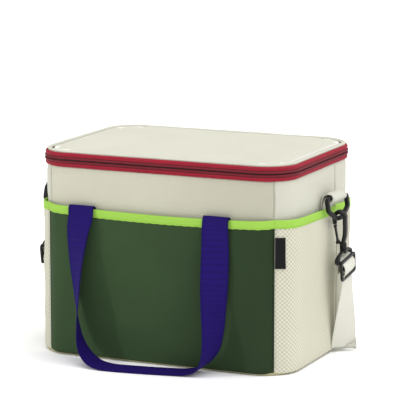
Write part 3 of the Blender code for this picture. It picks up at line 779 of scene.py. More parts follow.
@dataclass(frozen=True)
class Outline:
    """Rounded rectangle round the bag, measured from the middle of the front towards +X."""

    width: float
    depth: float
    radius: float = 0.042

    @property
    def flat_x(self) -> float:
        """Half of the straight part of the front."""
        return self.width / 2 - self.radius

    @property
    def flat_y(self) -> float:
        """Half of the straight part of a side."""
        return self.depth / 2 - self.radius

    @property
    def arc(self) -> float:
        """Length of a corner."""
        return self.radius * math.pi / 2

    @property
    def half(self) -> float:
        """Half of the way round."""
        return 2 * (self.flat_x + self.arc + self.flat_y)

    def locate(self, distance: float) -> tuple[Vector, Vector]:
        """Point at a distance, and its outward direction."""
        distance = (distance + self.half) % (2 * self.half) - self.half
        side, s = (-1, -distance) if distance < 0 else (1, distance)
        corner_end = self.flat_x + self.arc
        if s <= self.flat_x:
            point, way = Vector((s, -self.depth / 2, 0)), Vector((0, -1, 0))
        elif s <= corner_end:
            turn = (s - self.flat_x) / self.radius
            way = Vector((math.sin(turn), -math.cos(turn), 0))
            point = Vector((self.flat_x, -self.flat_y, 0)) + way * self.radius
        elif s <= corner_end + 2 * self.flat_y:
            point, way = Vector((self.width / 2, s - corner_end - self.flat_y, 0)), SIDEWAYS
        elif s <= corner_end + 2 * self.flat_y + self.arc:
            turn = (s - corner_end - 2 * self.flat_y) / self.radius
            way = Vector((math.cos(turn), math.sin(turn), 0))
            point = Vector((self.flat_x, self.flat_y, 0)) + way * self.radius
        else:
            point, way = Vector((self.half - s, self.depth / 2, 0)), BACKWARD
        return Vector((side * point.x, point.y, 0)), Vector((side * way.x, way.y, 0))

    def at(self, distance: float, grow: float, z: float) -> Vector:
        """Point at a distance, pushed outwards by grow, at a height."""
        point, way = self.locate(distance)
        point = point + way * grow
        point.z = z
        return point


def waves(distance: float, z: float, size: float, seed: float = 0.0) -> float:
    """Smooth noise from about -1 to 1 on the unrolled wall, with lumps of the given size."""
    turn = TURN * distance / (2 * OUTLINE.half)
    reach = OUTLINE.half / math.pi / size
    return noise.noise(Vector((reach * math.cos(turn) + seed, reach * math.sin(turn), z / size)))


OUTLINE = Outline(2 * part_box("right_panel")[1].x, -2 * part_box("front_panel")[0].y)
BODY_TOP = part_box("front_panel")[1].z
LID_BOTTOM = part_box("lid_cover")[0].z
LID_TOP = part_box("lid_cover")[1].z
ZIP_MIDDLE = (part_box("zip_tape_body")[1].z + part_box("zip_tape_lid")[0].z) / 2
POCKET_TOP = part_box("front_pocket_binding")[1].z
FRONT_SEAM = OUTLINE.flat_x + OUTLINE.radius * math.radians(36)
BACK_SEAM = OUTLINE.flat_x + OUTLINE.arc + OUTLINE.flat_y + 0.050
ZIP_END = OUTLINE.half - 0.120


def ease(share: float) -> float:
    """Smooth step from 0 to 1."""
    share = min(1.0, max(0.0, share))
    return share * share * (3 - 2 * share)


def band(name: str, start: float, end: float, profile: Profile, pitch: float, rows: int, height: float
         ) -> bpy.types.Object:
    """A sheet along the bag's outline.

    Args:
        name: The piece's name.
        start: Distance along the outline where it starts.
        end: Where it ends.
        profile: Height and stand-off at a share of the way up and a distance along.
        pitch: Rough width of a face.
        rows: Faces up the profile.
        height: Length of the profile, for its map.

    Returns:
        The sheet.
    """
    columns = max(2, round((end - start) / pitch))

    def place(u: float, v: float) -> Vector:
        """Point of the sheet."""
        distance = start + (end - start) * u
        z, grow = profile(v, distance)
        return OUTLINE.at(distance, grow, z)

    return grid(name, columns, rows, place, (end - start, height))


def along_profile(points: Sequence[tuple[float, float]], share: float) -> tuple[float, float]:
    """Point at a share of the length of a line through points."""
    lengths = [math.dist(a, b) for a, b in zip(points[:-1], points[1:])]
    left = share * sum(lengths)
    for (a, b), length in zip(zip(points[:-1], points[1:]), lengths):
        if left <= length or b == points[-1]:
            t = min(1.0, left / length)
            return a[0] + (b[0] - a[0]) * t, a[1] + (b[1] - a[1]) * t
        left -= length
    return points[-1]


def stitches(name: str, points: Sequence[Vector], normals: Sequence[Vector], length: float = 0.0026,
             gap: float = 0.0012, radius: float = 0.00028) -> bpy.types.Object:
    """A row of stitches that lie on a surface.

    Args:
        name: The row's name.
        points: A line on the surface.
        normals: The surface's outward direction at each point.
        length: Length of a stitch.
        gap: Length between two.
        radius: Half a thread's thickness.

    Returns:
        All of the stitches as one object.
    """
    outline = [(-0.5, 0.0), (-0.36, 0.8), (0.0, 1.0), (0.36, 0.8), (0.5, 0.0)]
    sides = 6
    verts, faces = [], []
    travelled, target = 0.0, gap
    for i in range(len(points) - 1):
        a, b = points[i], points[i + 1]
        reach = (b - a).length
        while reach > 0 and target + length / 2 <= travelled + reach:
            middle = a.lerp(b, (target + length / 2 - travelled) / reach)
            along, up = (b - a) / reach, normals[i]
            side = along.cross(up).normalized()
            first = len(verts)
            verts.append(middle + along * (outline[0][0] * length) - up * radius * 0.6)
            for x, y in outline[1:-1]:
                for k in range(sides):
                    turn = TURN * k / sides
                    verts.append(middle + along * (x * length) + side * (y * radius * math.cos(turn))
                                 + up * (y * radius * math.sin(turn) + radius * 0.3 * (y - 0.5)))
            verts.append(middle + along * (outline[-1][0] * length) - up * radius * 0.6)
            last = len(verts) - 1
            rings = len(outline) - 2
            for k in range(sides):
                after = (k + 1) % sides
                faces.append((first, first + 1 + k, first + 1 + after))
                for r in range(rings - 1):
                    low, high = first + 1 + r * sides, first + 1 + (r + 1) * sides
                    faces.append((low + k, high + k, high + after, low + after))
                top = first + 1 + (rings - 1) * sides
                faces.append((last, top + after, top + k))
            target += length + gap
        travelled += reach
    mesh = bpy.data.meshes.new(name)
    mesh.from_pydata([tuple(v) for v in verts], [], faces)
    mesh.uv_layers.new(name="cloth")
    mesh.update()
    mesh.shade_smooth()
    obj = bpy.data.objects.new(name, mesh)
    bpy.context.scene.collection.objects.link(obj)
    edit(obj, lambda: bpy.ops.mesh.normals_make_consistent(inside=False))
    return obj


def outline_row(name: str, start: float, end: float, grow: Callable[[float], float],
                z: Callable[[float], float], **kind: float) -> bpy.types.Object:
    """A row of stitches round the bag's wall.

    Args:
        name: The row's name.
        start: Distance along the outline where it starts.
        end: Where it ends.
        grow: Stand-off at a distance.
        z: Height at a distance.
        kind: Size of the stitches.

    Returns:
        All of the stitches as one object.
    """
    count = max(2, round((end - start) / 0.002))
    spots = [start + (end - start) * k / count for k in range(count + 1)]
    points = [OUTLINE.at(s, grow(s), z(s)) for s in spots]
    return stitches(name, points, [OUTLINE.locate(s)[1] for s in spots], **kind)


def lay_map(obj: bpy.types.Object, across: Vector, along: Vector) -> None:
    """Gives a piece a flat map in metres, seen from one side."""
    mesh = obj.data
    layer = mesh.uv_layers.get("cloth") or mesh.uv_layers.new(name="cloth")
    for loop, item in zip(mesh.loops, layer.data):
        spot = mesh.vertices[loop.vertex_index].co
        item.uv = (spot.dot(across), spot.dot(along))


def puff(obj: bpy.types.Object, voxel: float, pressure: float, cap: float, held: Callable[[Vector], bool],
         frames: int = 20) -> None:
    """Fills a closed shape by cloth simulation, and keeps the result as its mesh.

    Args:
        obj: The closed shape.
        voxel: Size of the even mesh that it is simulated on.
        pressure: Pressure inside it.
        cap: The furthest that a point may move.
        held: Whether a point is sewn down.
        frames: Frames that it runs for.
    """
    modify(obj, "REMESH", mode="VOXEL", voxel_size=voxel)
    mesh = obj.data
    pins = obj.vertex_groups.new(name="sewn")
    pins.add([v.index for v in mesh.vertices if held(v.co)], 1.0, "REPLACE")
    rest = [v.co.copy() for v in mesh.vertices]
    cloth = obj.modifiers.new("Filling", "CLOTH")
    settings = cloth.settings
    settings.use_pressure, settings.uniform_pressure_force = True, pressure
    settings.vertex_group_mass = pins.name
    settings.effector_weights.gravity = 0.0
    settings.tension_stiffness = settings.compression_stiffness = 8.0
    settings.shear_stiffness, settings.bending_stiffness = 3.0, 0.2
    settings.quality = 5
    scene = bpy.context.scene
    for number in range(1, frames + 1):
        scene.frame_set(number)
    swollen = obj.evaluated_get(bpy.context.evaluated_depsgraph_get()).data
    moved = [v.co.copy() for v in swollen.vertices]
    obj.modifiers.remove(cloth)
    scene.frame_set(1)
    for vertex, start, end in zip(mesh.vertices, rest, moved):
        step = end - start
        if step.length > cap:
            step *= cap / step.length
        vertex.co = start + step
    modify(obj, "SUBSURF", levels=1, render_levels=1)
    mesh.shade_smooth()


def radial(name: str, around: int, rings: int, place: Place, size: float) -> bpy.types.Object:
    """A closed round sheet: shares round the outline and in towards the middle."""
    obj = grid(name, around, rings, place, (2 * OUTLINE.half, size))
    edit(obj, lambda: bpy.ops.mesh.remove_doubles(threshold=0.00001))
    return obj


def webbing(name: str, stations: Sequence[tuple[Sequence[float], Sequence[float]]], steps: int = 8,
            half_width: float = 0.018, half_height: float = 0.00075) -> bpy.types.Object:
    """Flat webbing through stations of a middle and the direction across."""
    centres = smooth_path([Vector(c) for c, _ in stations], steps)
    across = [a.normalized() for a in smooth_path([Vector(a) for _, a in stations], steps)]
    edge, thin = half_height * 0.95, half_height * 0.88
    quarter = [
        (half_width, 0.0), (half_width * 0.99, edge * 0.7), (half_width * 0.965, edge),
        (half_width * 0.90, thin), (half_width * 0.60, thin), (half_width * 0.30, half_height), (0.0, half_height),
    ]
    half_ring = quarter + [(-x, y) for x, y in reversed(quarter[:-1])]
    ring = half_ring + [(x, -y) for x, y in reversed(half_ring[1:-1])]
    raised = []
    for i, (centre, way) in enumerate(zip(centres, across)):
        along = (centres[min(i + 1, len(centres) - 1)] - centres[max(i - 1, 0)]).normalized()
        side = (way - along * way.dot(along)).normalized()
        low = half_width * abs(side.z) + half_height + 0.0004
        raised.append(Vector((centre.x, centre.y, max(centre.z, low))))
    return sweep(name, raised, across, ring)


# The body of the bag

@dataclass
class Walls:
    """The four outer panels, the base and the corded seam round its foot."""

    thickness: float = 0.0012
    pitch: float = 0.0032
    rows: int = 84
    fullness: float = 0.0010
    seam_reach: float = 0.0035
    piping_radius: float = 0.0019

    def relief(self, distance: float, z: float, start: float, end: float) -> float:
        """How far the cloth stands off its flat at a place."""
        upper = ease((z - 0.196) / 0.02) * ease((BODY_TOP - z) / 0.012)
        lumps = 0.45 * waves(distance, z, 0.06) + 0.22 * waves(distance, z, 0.018, 7.0)
        seam = ease(min(distance - start, end - distance) / self.seam_reach)
        return (self.fullness * upper + 0.0016 * lumps * (0.35 + 0.65 * upper)) * seam - 0.00035 * (1 - seam)

    def panel(self, name: str, start: float, end: float) -> None:
        """One side's cloth."""
        foot = 0.0015

        def profile(share: float, distance: float) -> tuple[float, float]:
            """Height and stand-off."""
            z = foot + (BODY_TOP - foot) * share
            return z, self.relief(distance, z, start, end)

        cloth = band(f"{name}_cloth", start, end, profile, self.pitch, self.rows, BODY_TOP)
        thicken(cloth, self.thickness, outside)
        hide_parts(name)
        # The front panel takes the copy of the beige with painted shade.
        finish(cloth, SHADED_FRONT_BEIGE if name == "front_panel" else BEIGE, "beige_cloth", "root")

    def base(self) -> None:
        """The panel that the bag stands on."""
        def place(u: float, v: float) -> Vector:
            """Point of the panel, from its edge inwards."""
            spot = OUTLINE.at((2 * u - 1) * OUTLINE.half, -0.0006, 0.0)
            spot *= 1 - v
            spot.z = 0.0006 + 0.0004 * ease(v * 6)
            return spot

        cloth = radial("base_cloth", 160, 12, place, 0.12)
        lay_map(cloth, SIDEWAYS, BACKWARD)
        thicken(cloth, self.thickness, below)
        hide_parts("base_panel")
        finish(cloth, GREEN, "green_cloth", "root")

    def piping(self) -> None:
        """The corded seam round the foot."""
        radius = self.piping_radius
        spots = [OUTLINE.half * (2 * k / 320 - 1) for k in range(320)]
        centres = [OUTLINE.at(s, radius + 0.0002, radius + 0.0003) for s in spots]
        across = [OUTLINE.locate(s)[1] for s in spots]
        section = [(radius * math.cos(TURN * k / 10), radius * math.sin(TURN * k / 10)) for k in range(10)]
        cord = sweep("foot_piping", centres, across, section, closed=True)
        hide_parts("bottom_piping")
        finish(cord, PIPING, "piping", "root")

    def build(self) -> None:
        """Builds every piece of the walls."""
        far = 2 * OUTLINE.half
        self.panel("front_panel", -FRONT_SEAM, FRONT_SEAM)
        self.panel("right_panel", FRONT_SEAM, BACK_SEAM)
        self.panel("back_panel", BACK_SEAM, far - BACK_SEAM)
        self.panel("left_panel", far - BACK_SEAM, far - FRONT_SEAM)
        self.base()
        self.piping()


@dataclass
class Pocket:
    """A patch pocket with a bound edge and a stitched seam at each end."""

    name: str
    start: float
    end: float
    look: object
    slot: str
    thread: Cloth
    pitch: float = 0.0028
    rows: int = 74
    stand: float = 0.0070
    end_stand: float = 0.0034
    end_reach: float = 0.016
    cloth: float = 0.0008
    tape: float = 0.0006
    tape_height: float = 0.0110
    foot: float = 0.0024
    knit: bool = False
    hem: float = 0.0032
    slack: float = 0.0042
    fall: float = 0.0058

    def top(self, distance: float) -> float:
        """Height of the pocket's edge: slack in the middle of the front, falling towards the back."""
        s = min(abs(distance), 2 * OUTLINE.half - abs(distance))
        if s <= FRONT_SEAM:
            return POCKET_TOP - self.slack * (1 - (s / FRONT_SEAM) ** 2)
        return POCKET_TOP - self.fall * min(1.0, (s - FRONT_SEAM) / (BACK_SEAM - FRONT_SEAM))

    def grow(self, distance: float) -> float:
        """Stand-off of the pocket's outer face."""
        edge = min(distance - self.start, self.end - distance)
        return self.end_stand + (self.stand - self.end_stand) * ease(edge / self.end_reach)

    def relief(self, distance: float, z: float) -> float:
        """Slackness of the cloth."""
        hold = ease((self.top(distance) - self.tape_height - z) / 0.02) * ease(z / 0.02)
        edge = ease(min(distance - self.start, self.end - distance) / 0.02)
        creases = 0.0019 * waves(distance + z * 0.5, z * 1.6, 0.075, 3.0)
        creases += 0.0004 * waves(distance, z, 0.024, 11.0)
        return hold * edge * (0.0004 + creases) - 0.0002 * (1 - edge)

    def dots(self, distance: float, z: float) -> float:
        """Raised dots of the knit, in a diamond net."""
        edge = min(distance - self.start, self.end - distance)
        wave = math.sin(TURN * (distance - self.start) / MESH.across) * math.sin(TURN * z / MESH.up)
        return 0.00032 * ease((wave * 0.5 + 0.5 - 0.12) / 0.68) * ease((edge - self.hem) / 0.0015)

    def face(self) -> bpy.types.Object:
        """The pocket's cloth."""
        def profile(share: float, distance: float) -> tuple[float, float]:
            """Height and stand-off, from the turned-in foot to the edge."""
            full = self.grow(distance)
            low = self.foot
            points = [
                (low, full * 0.66), (low + 0.0006, full * 0.86), (low + 0.0024, full * 0.97),
                (low + 0.0060, full), (self.top(distance) - 0.0012, full),
            ]
            z, grow = along_profile(points, share)
            grow += self.relief(distance, z)
            return z, grow + (self.dots(distance, z) if self.knit else 0.0)

        sheet = band(
            f"{self.name}_cloth", self.start + 0.0003, self.end - 0.0003, profile, self.pitch, self.rows, 0.20,
        )
        thicken(sheet, self.cloth, outside)
        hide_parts(self.name)
        return finish(sheet, self.look, self.slot, "root")

    def binding(self) -> None:
        """The folded tape over the edge, with its stitches."""
        def profile(share: float, distance: float) -> tuple[float, float]:
            """Height and stand-off, up the inner leaf, over the fold and down the outer leaf."""
            full, top = self.grow(distance), self.top(distance)
            inner, outer = full - self.cloth - 0.0004, full + 0.0004
            pucker = 0.5 + 0.5 * math.sin(TURN * distance / 0.0085 + 3.0 * waves(distance, 0.0, 0.03, 5.0))
            lift = 0.00045 * pucker * (0.6 + waves(distance, 0.1, 0.02, 9.0))
            points = [
                (top - self.tape_height, inner), (top - 0.0010, inner), (top - 0.0003, (inner + outer) / 2),
                (top - 0.0010, outer + lift * 0.5), (top - 0.0050, outer + lift),
                (top - self.tape_height, outer),
            ]
            z, grow = along_profile(points, share)
            edge = 0.00025 * math.sin(TURN * distance / 0.011) if share > 0.97 else 0.0
            return z + edge, grow

        tape = band(f"{self.name}_tape", self.start, self.end, profile, 0.0016, 26, 2 * self.tape_height)
        thicken(tape, self.tape, offset=0.0)
        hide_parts(f"{self.name}_binding")
        finish(tape, LIME, "lime_binding", "root")
        row = outline_row(
            f"{self.name}_tape_stitches", self.start + 0.001, self.end - 0.001,
            lambda s: self.grow(s) + 0.0008, lambda s: self.top(s) - self.tape_height + 0.0019,
        )
        finish(row, THREAD_LIME, "lime_binding", "root")

    def seams(self) -> None:
        """Upright rows of stitches at both ends."""
        for side, distance in (("start", self.start + 0.0018), ("end", self.end - 0.0018)):
            high = self.top(distance) - self.tape_height
            count = 90
            heights = [self.foot + 0.006 + (high - self.foot - 0.006) * k / count for k in range(count + 1)]
            lift = 0.0004 if self.knit else 0.0001
            points = [OUTLINE.at(distance, self.grow(distance) + lift, z) for z in heights]
            outward = [OUTLINE.locate(distance)[1]] * len(points)
            row = stitches(f"{self.name}_{side}_stitches", points, outward)
            finish(row, self.thread, self.slot, "root")

    def build(self) -> None:
        """Builds the pocket."""
        self.face()
        self.binding()
        self.seams()


@dataclass
class Label:
    """Blank woven tag, sewn beside the front right seam."""

    pocket: Pocket
    offset: float = 0.0003
    width: float = 0.0112
    low: float = 0.1391
    high: float = 0.1789

    def build(self) -> None:
        """Builds the tag."""
        start = FRONT_SEAM + self.offset

        def profile(share: float, distance: float) -> tuple[float, float]:
            """Height and stand-off: its free lower corner curls a little."""
            curl = ease((distance - start) / self.width) ** 2 * ease(1 - share * 2.5) * 0.0012
            lift = 0.0016 + 0.0003 * math.sin(math.pi * share) + curl
            return self.low + (self.high - self.low) * share, self.pocket.grow(distance) + lift

        tag = band("blank_label", start, start + self.width, profile, 0.0007, 56, self.high - self.low)
        thicken(tag, 0.0005, outside)
        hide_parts("side_label")
        finish(tag, LABEL, "label_cloth", "root")


@dataclass
class Lid:
    """The padded lid: its pad, rolled rim and lining."""

    inset: float = 0.0046
    crown: float = 0.0008
    underside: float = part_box("lid_lining")[0].z
    skirt: float = 0.0002

    def pad(self) -> None:
        """The foam-filled top, swelled by simulation and pulled in at its sewn edge."""
        low, high = LID_TOP - 0.0078, LID_TOP - 0.0010

        def place(u: float, v: float) -> Vector:
            """Point of the pad's skin, from the middle of the underside round to the middle of the top."""
            distance = (2 * u - 1) * OUTLINE.half
            edge = OUTLINE.at(distance, -self.inset, 0.0)
            top = v > 0.5
            t = (1 - v if top else v) * 2
            spot = edge * min(1.0, t * 1.04)
            roll = ease((t - 0.90) / 0.10)
            spot.z = (high - 0.0012 * roll + self.crown * (1 - t * t)) if top else low + 0.0012 * roll
            return spot

        pad = radial("lid_pad", 200, 96, place, 0.24)
        close_up(pad)
        puff(pad, 0.0045, 2.2, 0.0022, lambda p: p.z < low + 0.003)
        for vertex in pad.data.vertices:
            spot = vertex.co
            wrinkle = noise.noise(Vector((spot.x / 0.09, spot.y / 0.028, 1.7))) * 0.6
            wrinkle += noise.noise(spot * 60) * 0.25
            if spot.z > high - 0.002:
                spot.z += 0.00055 * wrinkle
        lay_map(pad, SIDEWAYS, BACKWARD)
        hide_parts("lid_cover")
        finish(pad, BEIGE, "beige_cloth", "lid")

    def rim(self) -> None:
        """The rolled edge that joins the lid's top to the zip."""
        points = [
            (LID_BOTTOM - self.skirt, -0.0004), (LID_BOTTOM + 0.0022, 0.0004), (LID_TOP - 0.0016, 0.0005),
            (LID_TOP - 0.0004, -0.0004), (LID_TOP + 0.0004, -0.0018), (LID_TOP + 0.0002, -0.0034),
            (LID_TOP - 0.0012, -0.0046), (LID_TOP - 0.0026, -0.0052),
        ]

        def profile(share: float, distance: float) -> tuple[float, float]:
            """Height and stand-off, from the zip over the edge to the seam."""
            z, grow = along_profile(points, share)
            ripple = 0.0003 * waves(distance, 0.0, 0.025, 2.0) * math.sin(math.pi * share)
            return z + ripple, grow + ripple

        rim = band("lid_rim", -OUTLINE.half, OUTLINE.half, profile, 0.0028, 22, 0.013)
        edit(rim, lambda: bpy.ops.mesh.remove_doubles(threshold=0.00001))
        thicken(rim, 0.0008, above)
        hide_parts("lid_piping")
        finish(rim, BEIGE, "beige_cloth", "lid")
        row = outline_row(
            "lid_seam_stitches", -OUTLINE.half, OUTLINE.half, lambda s: -self.inset + 0.0004,
            lambda s: LID_TOP - 0.0013, radius=0.0002,
        )
        finish(row, THREAD_CREAM, "beige_cloth", "lid")

    def lining(self) -> None:
        """The wipeable underside and the tape that binds its edge."""
        z = self.underside

        def place(u: float, v: float) -> Vector:
            """Point of the lining, from its edge inwards."""
            spot = OUTLINE.at((2 * u - 1) * OUTLINE.half, -0.0088, 0.0) * (1 - v)
            spot.z = z - 0.0006 * ease(v * 5) * (1 + noise.noise(Vector((spot.x, spot.y, 3.0)) * 28))
            return spot

        sheet = radial("lid_lining_sheet", 200, 44, place, 0.12)
        lay_map(sheet, SIDEWAYS, BACKWARD)
        thicken(sheet, 0.0006, below)
        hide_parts("lid_lining")
        finish(sheet, LINING, "liner_cloth", "lid")
        points = [
            (z + 0.0040, 0.0002), (z + 0.0006, -0.0004), (z - 0.0002, -0.0030), (z - 0.0006, -0.0080),
            (z - 0.0002, -0.0116),
        ]
        tape = band(
            "lid_lining_tape", -OUTLINE.half, OUTLINE.half, lambda v, s: along_profile(points, v),
            0.0035, 12, 0.016,
        )
        edit(tape, lambda: bpy.ops.mesh.remove_doubles(threshold=0.00001))
        thicken(tape, 0.0005, offset=0.0)
        finish(tape, BACK_BEIGE, "beige_cloth", "lid")

    def build(self) -> None:
        """Builds the lid."""
        self.pad()
        self.rim()
        self.lining()


# Zip and hinge

@dataclass
class Zip:
    """The zip's tapes, its coil, its slider with the pull, and the cloth hinge behind the lid."""

    tape_width: float = 0.0092
    tooth_pitch: float = 0.00135
    plate: float = 0.0018
    bar_out: float = 0.0050

    def tape(self, name: str, side: int, body: str, node: str) -> None:
        """One half: side is 1 for the lid's and -1 for the body's."""
        edge = LID_BOTTOM + 0.0010 if side > 0 else BODY_TOP - 0.0012
        start_z = ZIP_MIDDLE + side * 0.00035
        shape = [
            (0.0, 0.0016), (0.05, 0.0034), (0.16, 0.0042), (0.30, 0.0038), (0.40, 0.0023), (0.46, 0.0026),
            (0.75, 0.0030), (0.93, 0.0022), (1.0, 0.0006),
        ]

        def profile(share: float, distance: float) -> tuple[float, float]:
            """Height and stand-off, from the teeth to the sewn edge."""
            t, grow = along_profile([(a, b * 4) for a, b in shape], share)
            sway = 0.00035 * waves(distance, 0.0, 0.05, 4.0) * t
            phase = TURN * distance / 0.0105 + 2 * waves(distance, 0.0, 0.04)
            pucker = 0.00028 * math.sin(phase) * ease(t * 2 - 1)
            return start_z + (edge - start_z) * t + sway, grow / 4 + pucker

        count = max(2, round(2 * ZIP_END / 0.0022))
        total = self.tape_width

        def place(u: float, v: float) -> Vector:
            """Point of the tape."""
            distance = -ZIP_END + 2 * ZIP_END * u
            z, grow = profile(v, distance)
            return OUTLINE.at(distance, grow, z)

        tape = grid(name, count, 26, place, (2 * ZIP_END, total))
        thicken(tape, 0.0006, outside)
        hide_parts(node)
        finish(tape, TAPE, "red_tape", body)
        row = outline_row(
            f"{name}_stitches", -ZIP_END, ZIP_END, lambda s: 0.0031,
            lambda s: start_z + (edge - start_z) * 0.72, radius=0.00022,
        )
        finish(row, THREAD_RED, "red_tape", body)

    def teeth(self, name: str, side: int, body: str, node: str) -> None:
        """One row of the coil, each turn a bar with a rounded head."""
        rings = [(0.0, 0.7), (0.25, 1.25), (0.5, 0.8), (1.0, 0.7)]
        verts, faces = [], []
        count = int(2 * ZIP_END / self.tooth_pitch)
        for i in range(count):
            distance = -ZIP_END + (i + (0.25 if side > 0 else 0.75)) * self.tooth_pitch
            first = len(verts)
            for t, wide in rings:
                z = ZIP_MIDDLE + side * (t * 0.0026 - 0.0002)
                for a, b in ((-1, -1), (1, -1), (1, 1), (-1, 1)):
                    verts.append(OUTLINE.at(distance + a * 0.00030 * wide, 0.0017 + b * 0.0004 * wide, z))
            for r in range(len(rings) - 1):
                for k in range(4):
                    low, after = first + 4 * r, (k + 1) % 4
                    faces.append((low + k, low + after, low + 4 + after, low + 4 + k))
            top = first + 4 * (len(rings) - 1)
            faces += [(first, first + 3, first + 2, first + 1), (top, top + 1, top + 2, top + 3)]
        mesh = bpy.data.meshes.new(name)
        mesh.from_pydata([tuple(v) for v in verts], [], faces)
        mesh.uv_layers.new(name="cloth")
        row = bpy.data.objects.new(name, mesh)
        bpy.context.scene.collection.objects.link(row)
        edit(row, lambda: bpy.ops.mesh.normals_make_consistent(inside=False))
        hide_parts(node)
        finish(row, COIL, "zip_coil", body)

    def slider(self) -> None:
        """The slider's body and bridge, and the pull that hangs on it."""
        low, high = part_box("zip_slider")
        middle = (low + high) / 2
        x, y, z = high.x, middle.y, ZIP_MIDDLE
        bpy.ops.object.select_all(action="DESELECT")
        bpy.ops.mesh.primitive_cube_add(
            size=1, location=(x - self.plate / 2, y, z), scale=(self.plate, 0.0118, 0.0092),
        )
        plate = bpy.context.object
        bpy.ops.object.transform_apply(location=True, rotation=False, scale=True)
        for vertex in plate.data.vertices:
            if vertex.co.y > y:
                vertex.co.z = z + (vertex.co.z - z) * 0.66
        plate.data.uv_layers.active.name = "cloth"
        modify(plate, "BEVEL", width=0.0007, segments=3)
        bar = x - self.bar_out
        arch = [Vector(p) for p in (
            (x - 0.0006, y + 0.0052, z), (x - 0.0030, y + 0.0051, z), (bar + 0.0004, y + 0.0040, z),
            (bar, y + 0.0020, z), (bar, y - 0.0020, z), (bar + 0.0004, y - 0.0040, z),
            (x - 0.0030, y - 0.0051, z), (x - 0.0006, y - 0.0052, z),
        )]
        centres = smooth_path(arch, 5)
        bridge = sweep("bridge", centres, [UP] * len(centres), rounded_section(0.0014, 0.0008, 0.0005))
        body = join("slider_body", [plate, bridge])
        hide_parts("zip_slider")
        finish(body, SILVER, "zip_metal", "zip_slider")

        turns = [TURN * k / 24 for k in range(24)]
        ring_points = [Vector((bar + 0.0018 * math.cos(t), y, z + 0.0018 * math.sin(t))) for t in turns]
        eye = rounded_section(0.0009, 0.0006, 0.0004)
        ring = sweep("pull_ring", ring_points, [BACKWARD] * 24, eye, closed=True)
        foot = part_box("zip_pull")[0].z
        loop = [
            (0.0, -0.0021), (0.0022, -0.0050), (0.0034, -0.0100), (0.0030, -0.0220), (0.0018, foot - z + 0.0012),
            (-0.0018, foot - z + 0.0012), (-0.0030, -0.0220), (-0.0034, -0.0100), (-0.0022, -0.0050),
        ]
        path = smooth_path([Vector((bar, y + a, z + b)) for a, b in loop], 6, closed=True)
        wire = rounded_section(0.0007, 0.0007, 0.0004)
        frame_loop = sweep("pull_frame", path, [SIDEWAYS] * len(path), wire, closed=True)
        bpy.ops.object.select_all(action="DESELECT")
        bpy.ops.mesh.primitive_cube_add(size=1, location=(bar, y, (foot + z - 0.0120) / 2),
                                        scale=(0.0006, 0.0056, z - 0.0130 - foot))
        leaf = bpy.context.object
        bpy.ops.object.transform_apply(location=True, rotation=False, scale=True)
        leaf.data.uv_layers.active.name = "cloth"
        modify(leaf, "BEVEL", width=0.0002, segments=2)
        pull = join("slider_pull", [frame_loop, ring, leaf])
        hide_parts("zip_pull")
        finish(pull, SILVER, "zip_metal", "zip_pull")

    def hinge(self) -> None:
        """The strip of cloth that the lid turns on."""
        half = OUTLINE.half - ZIP_END + 0.006
        low, high = BODY_TOP - 0.0200, LID_TOP - 0.0034
        hinge_y = OUTLINE.depth / 2 + 0.0018

        def place(u: float, v: float) -> Vector:
            """Point of the strip."""
            x, z = half * (1 - 2 * u), low + (high - low) * v
            fold = 0.0014 * math.exp(-((z - ZIP_MIDDLE) / 0.0016) ** 2)
            soft = 0.0003 * noise.noise(Vector((x * 40, 2.0, z * 60)))
            return Vector((x, hinge_y - fold + soft, z))

        strip = grid("hinge_strip", 90, 44, place, (2 * half, high - low))
        thicken(strip, 0.0009, outside)
        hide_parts("hinge_cloth_body", "hinge_cloth_lid")
        finish(strip, BACK_BEIGE, "beige_cloth")
        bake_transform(strip)
        rows = (("hinge_low_stitches", low + 0.002, "root"), ("hinge_high_stitches", high - 0.002, "lid"))
        for name, z, body in rows:
            points = [Vector((half * (1 - 2 * k / 80), hinge_y + 0.0001, z)) for k in range(81)]
            finish(stitches(name, points, [BACKWARD] * 81), THREAD_CREAM, "beige_cloth", body)

    def build(self) -> None:
        """Builds the zip and the hinge."""
        self.tape("zip_tape_low", -1, "root", "zip_tape_body")
        self.tape("zip_tape_high", 1, "lid", "zip_tape_lid")
        self.teeth("zip_teeth_low", -1, "root", "zip_coil_body")
        self.teeth("zip_teeth_high", 1, "lid", "zip_coil_lid")
        self.slider()
        self.hinge()


